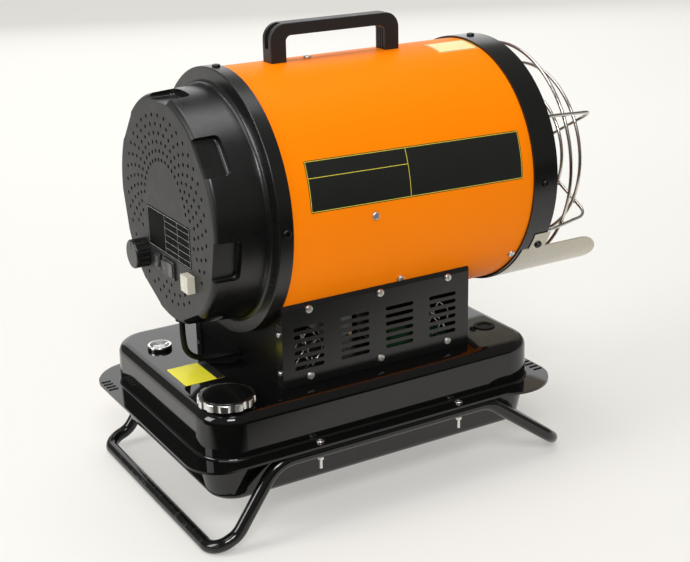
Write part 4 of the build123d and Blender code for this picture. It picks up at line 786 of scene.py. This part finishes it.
class HEATER_OT_gauge(HeaterOperator, bpy.types.Operator):
    """Make the gauge's dial and the dome of its lens"""
    bl_idname = "heater.gauge"
    bl_label = "Gauge dial and dome"

    def execute(self, context):
        low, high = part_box("gauge_bezel")
        centre = ((low.x + high.x) / 2, (low.y + high.y) / 2, 0.0)
        floor = low.z - 0.95 * MM
        disc = [(0.0, floor), (11.8 * MM, floor), (11.8 * MM, floor + 0.2 * MM),
                (0.0, floor + 0.2 * MM)]
        dial = joined("gauge_dial", [(turned(disc, centre, (0, 0, 1), 48), False, True)])
        piece(close_poles(dial), dial_print("dial print", centre), "heater")
        top, edge = high.z + 0.02 * MM, 12.2 * MM
        arc = np.linspace(0, np.pi / 2, 12)
        curve = np.stack([edge * np.cos(arc), top + 0.3 * MM + 1.6 * MM * np.sin(arc)], -1)
        profile = np.concatenate([[(0.0, top), (edge, top)], curve])
        profile[-1, 0] = 0.0
        dome = joined("gauge_dome", [(turned(profile, centre, (0, 0, 1), 48), False, True)])
        piece(close_poles(dome), clear_lens("dome plastic"), "heater")
        return {"FINISHED"}


class HEATER_OT_wires(HeaterOperator, bpy.types.Operator):
    """Make the bright wires that show through the outer louvres"""
    bl_idname = "heater.wires"
    bl_label = "Wires behind the louvres"

    def execute(self, context):
        t = np.concatenate([[0.0, 0.002], np.linspace(0.01, 0.99, 60), [0.998, 1.0]])
        near = PEDESTAL_LOW.y
        for group, (middle, count, lean) in enumerate(((-143.0, 5, 6.0), (47.0, 4, -22.0))):
            wires = []
            for k in range(count):
                phase = 0.37 * k + 0.2 * group
                spread = (k - (count - 1) / 2) * 7.5
                x = middle + spread + lean * (t - 0.5)
                x += 7.0 * np.sin(2 * np.pi * (1.3 * t + phase))
                y = 9.0 + 2.6 * np.sin(2 * np.pi * (0.9 * t + 1.7 * phase))
                z = 168.0 + 62.0 * t
                path = np.stack([x * MM, near + y * MM, z * MM], -1)
                wires.append((wire_tube(path, 1.15 * MM), False, True))
            mesh = close_poles(joined(f"louvre_wires_{group}", wires))
            piece(mesh, plated(f"tinned wire {group}", (0.80, 0.78, 0.72), 0.14), "heater")
        return {"FINISHED"}


class HEATER_OT_drum_labels(HeaterOperator, bpy.types.Operator):
    """Make the bare labels that follow the drum"""
    bl_idname = "heater.drum_labels"
    bl_label = "Drum labels"

    def execute(self, context):
        labels, paint = self.labels, self.paint
        start = COVER_HIGH.x + labels.drum_start

        size = (labels.drum_length, (labels.drum_high - labels.drum_low) * DRUM_R)

        def side(u, v, lift):
            along, up = u - size[0] / 2, v - size[1] / 2
            c, s = np.cos(labels.drum_turn), np.sin(labels.drum_turn)
            return on_drum(start + size[0] / 2 + c * along - s * up,
                           labels.drum_low + (size[1] / 2 + s * along + c * up) / DRUM_R,
                           DRUM_R + lift)

        lines = border_lines(size, 1.2 * MM, 0.7 * MM)
        lines.append((1, labels.drum_split, 1.2 * MM, size[1] - 1.2 * MM, 0.7 * MM))
        lines.append((0, size[1] * 0.66, 1.2 * MM, labels.drum_split, 0.7 * MM))
        film = printed("drum label print", (0.008, 0.009, 0.007), tuple(paint.line_yellow),
                       size, lines)
        label_piece("drum_label", *size, labels.corner, labels.film, side, film,
                    "black_satin")

        front = RING_LOW.x - labels.top_end - labels.top_length

        def top(u, v, lift):
            return on_drum(front + u, labels.top_low + v / DRUM_R, DRUM_R + lift)

        size = (labels.top_length, (labels.top_high - labels.top_low) * DRUM_R)
        film = printed("top label print", tuple(paint.label_cream), (0.55, 0.27, 0.02), size,
                       border_lines(size, 1.4 * MM, 2.2 * MM))
        label_piece("top_label", *size, labels.corner, labels.film, top, film, "black_satin")
        return {"FINISHED"}


class HEATER_OT_tank_label(HeaterOperator, bpy.types.Operator):
    """Make the bare label on the tank's top"""
    bl_idname = "heater.tank_label"
    bl_label = "Tank label"

    def execute(self, context):
        labels, paint = self.labels, self.paint
        x0, y0, z0 = TANK_LOW.x + 42.5 * MM, -48.0 * MM, TANK_HIGH.z

        def flat(u, v, lift):
            return np.stack(np.broadcast_arrays(x0 + u, y0 + v, z0 + lift), -1)

        size = (labels.tank_length, labels.tank_width)
        header = 11.0 * MM
        lines = [(1, size[0] - header / 2, 0.0, size[1], header)]
        film = printed("tank label print", tuple(paint.label_yellow), (0.012, 0.012, 0.012),
                       size, lines, sheen=0.2)
        label_piece("tank_label", *size, labels.corner, labels.film, flat, film, "black_satin")
        return {"FINISHED"}


class HEATER_OT_data_plate(HeaterOperator, bpy.types.Operator):
    """Make the bare data plate on the rear face"""
    bl_idname = "heater.data_plate"
    bl_label = "Data plate"

    def execute(self, context):
        labels = self.labels
        size = (labels.plate_width, labels.plate_height)
        y0, z0 = 55.0 * MM, AXIS_Z - 55.0 * MM

        def rear(u, v, lift):
            return np.stack(np.broadcast_arrays(FACE_X - lift, y0 - u, z0 + v), -1)

        lines = border_lines(size, 1.5 * MM, 0.35 * MM)
        lines += [(0, k * size[1] / 6, size[0] * 0.42, size[0] - 1.5 * MM, 0.3 * MM)
                  for k in range(1, 6)]
        lines += [(1, size[0] * part, 1.5 * MM, size[1] - 1.5 * MM, 0.3 * MM)
                  for part in (0.42, 0.72)]
        film = printed("data plate print", (0.005, 0.005, 0.005), (0.5, 0.5, 0.48), size,
                       lines, 0.5, 0.03)
        label_piece("data_plate", *size, labels.corner, 2 * labels.film, rear, film,
                    "black_satin")
        return {"FINISHED"}


class HEATER_OT_stage(HeaterOperator, bpy.types.Operator):
    """Set up the floor, lights and camera"""
    bl_idname = "heater.stage"
    bl_label = "Studio"

    def execute(self, context):
        studio = self.studio
        scene = context.scene
        scene.view_settings.view_transform = "Standard"
        self.floor(tuple(studio.backdrop))
        self.world(tuple(studio.backdrop), studio.light)
        for lamp in SOFTBOXES:
            self.softbox(*lamp)
        self.camera(scene, studio)
        return {"FINISHED"}

    def floor(self, tone):
        """A level sheet far wider than the view, half lit and half a shadowless glow for the
        eye, painted lighter far off and darker near, and painted near black to reflected rays
        ahead of the heater.
        """
        half = 30.0
        side = np.linspace(-half, half, 2)
        x, y = np.meshgrid(side, side, indexing="ij")
        mesh = mesh_from_grid("floor", np.stack([x, y, 0 * x], -1))
        floor = bpy.data.objects.new("floor", mesh)
        bpy.context.scene.collection.objects.link(floor)
        finish = Finish("paper floor", Specular_IOR_Level=0.2, Roughness=0.7)
        finish.set(**{"Base Color": tone})
        mirrored = finish.node("ShaderNodeLightPath", output="Is Glossy Ray")
        seen = finish.node("ShaderNodeLightPath", output="Is Camera Ray").most(
            finish.node("ShaderNodeLightPath", output="Is Transmission Ray")).most(mirrored)
        turn = FLOOR_TURN
        ahead = finish.along("X") * np.sin(turn) - finish.along("Y") * np.cos(turn)
        # Painted dark reflection: ahead of the heater the floor turns near black to reflected
        # rays only, so faces turned to the camera mirror a dark room
        painted_dark_reflection = mirrored * ahead.over(0.43, 0.16)
        # Painted light: the floor's glow is graded, lighter far off and darker near, against how
        # the lamps fall on the lit share
        even = finish.mix(ahead.over(-0.9, 2.6), shade(tone, 1.26), shade(tone, 0.83))
        shown = finish.mix(painted_dark_reflection, even, (0.012, 0.012, 0.011))
        glow = finish.node("ShaderNodeEmission", None, {"Color": shown, "Strength": 1.0})
        paper = Wire(finish, finish.shader.outputs[0])
        share = seen * self.studio.glow + painted_dark_reflection * (1.0 - self.studio.glow)
        blend = finish.node("ShaderNodeMixShader", None, {0: share, 1: paper, 2: glow})
        finish.feed(finish.tree.nodes["Material Output"].inputs["Surface"], blend)
        mesh.materials.append(finish.material)

    def world(self, tone, strength):
        """Dim even light from all round."""
        world = bpy.data.worlds.new("studio")
        bpy.context.scene.world = world
        world.use_nodes = True
        background = world.node_tree.nodes["Background"]
        background.inputs["Color"].default_value = (*tone, 1.0)
        background.inputs["Strength"].default_value = strength

    def softbox(self, name, at, width, height, power):
        """A rectangular lamp that faces the heater."""
        data = bpy.data.lights.new(name, "AREA")
        data.shape = "RECTANGLE"
        data.size, data.size_y, data.energy = width, height, power
        lamp = bpy.data.objects.new(name, data)
        bpy.context.scene.collection.objects.link(lamp)
        aim = Vector(LAMP_AIM) - Vector(at)
        turn = aim.to_track_quat("-Z", "Y").to_matrix().to_4x4()
        lamp.matrix_world = Matrix.Translation(at) @ turn

    def camera(self, scene, studio):
        """The camera looks along minus its back vector; roll turns right and up together."""
        a, e, r = studio.azimuth, studio.elevation, studio.roll
        back = Vector((np.sin(a) * np.cos(e), -np.cos(a) * np.cos(e), np.sin(e)))
        right = Vector((np.cos(a), np.sin(a), 0.0))
        up = back.cross(right)
        turned_right = np.cos(r) * right + np.sin(r) * up
        turned_up = np.cos(r) * up - np.sin(r) * right
        turn = Matrix((turned_right, turned_up, back)).transposed().to_4x4()
        data = bpy.data.cameras.new("camera")
        data.sensor_width = 36.0
        data.lens = studio.lens
        camera = bpy.data.objects.new("camera", data)
        scene.collection.objects.link(camera)
        camera.matrix_world = Matrix.Translation(studio.camera_at) @ turn
        scene.camera = camera


STEPS = (HEATER_OT_drum, HEATER_OT_outlet, HEATER_OT_tank, HEATER_OT_works, HEATER_OT_controls,
         HEATER_OT_guard_welds, HEATER_OT_gauge, HEATER_OT_wires, HEATER_OT_drum_labels,
         HEATER_OT_tank_label, HEATER_OT_data_plate, HEATER_OT_stage)


class HEATER_PT_panel(bpy.types.Panel):
    """Lists the heater's steps"""
    bl_label = "Infrared diesel heater"
    bl_idname = "HEATER_PT_panel"
    bl_space_type = "VIEW_3D"
    bl_region_type = "UI"
    bl_category = "Heater"

    def draw(self, context):
        for step in STEPS:
            self.layout.operator(step.bl_idname)


GROUPS = (HeaterPaint, HeaterLabels, HeaterStudio)


def register():
    for cls in GROUPS + STEPS + (HEATER_PT_panel,):
        bpy.utils.register_class(cls)
    bpy.types.Scene.heater_paint = bpy.props.PointerProperty(type=HeaterPaint)
    bpy.types.Scene.heater_labels = bpy.props.PointerProperty(type=HeaterLabels)
    bpy.types.Scene.heater_studio = bpy.props.PointerProperty(type=HeaterStudio)


def unregister():
    del bpy.types.Scene.heater_paint
    del bpy.types.Scene.heater_labels
    del bpy.types.Scene.heater_studio
    for cls in reversed(GROUPS + STEPS + (HEATER_PT_panel,)):
        bpy.utils.unregister_class(cls)


def main():
    register()
    for step in STEPS:
        group, name = step.bl_idname.split(".")
        getattr(getattr(bpy.ops, group), name)()


if __name__ == "__main__":
    main()
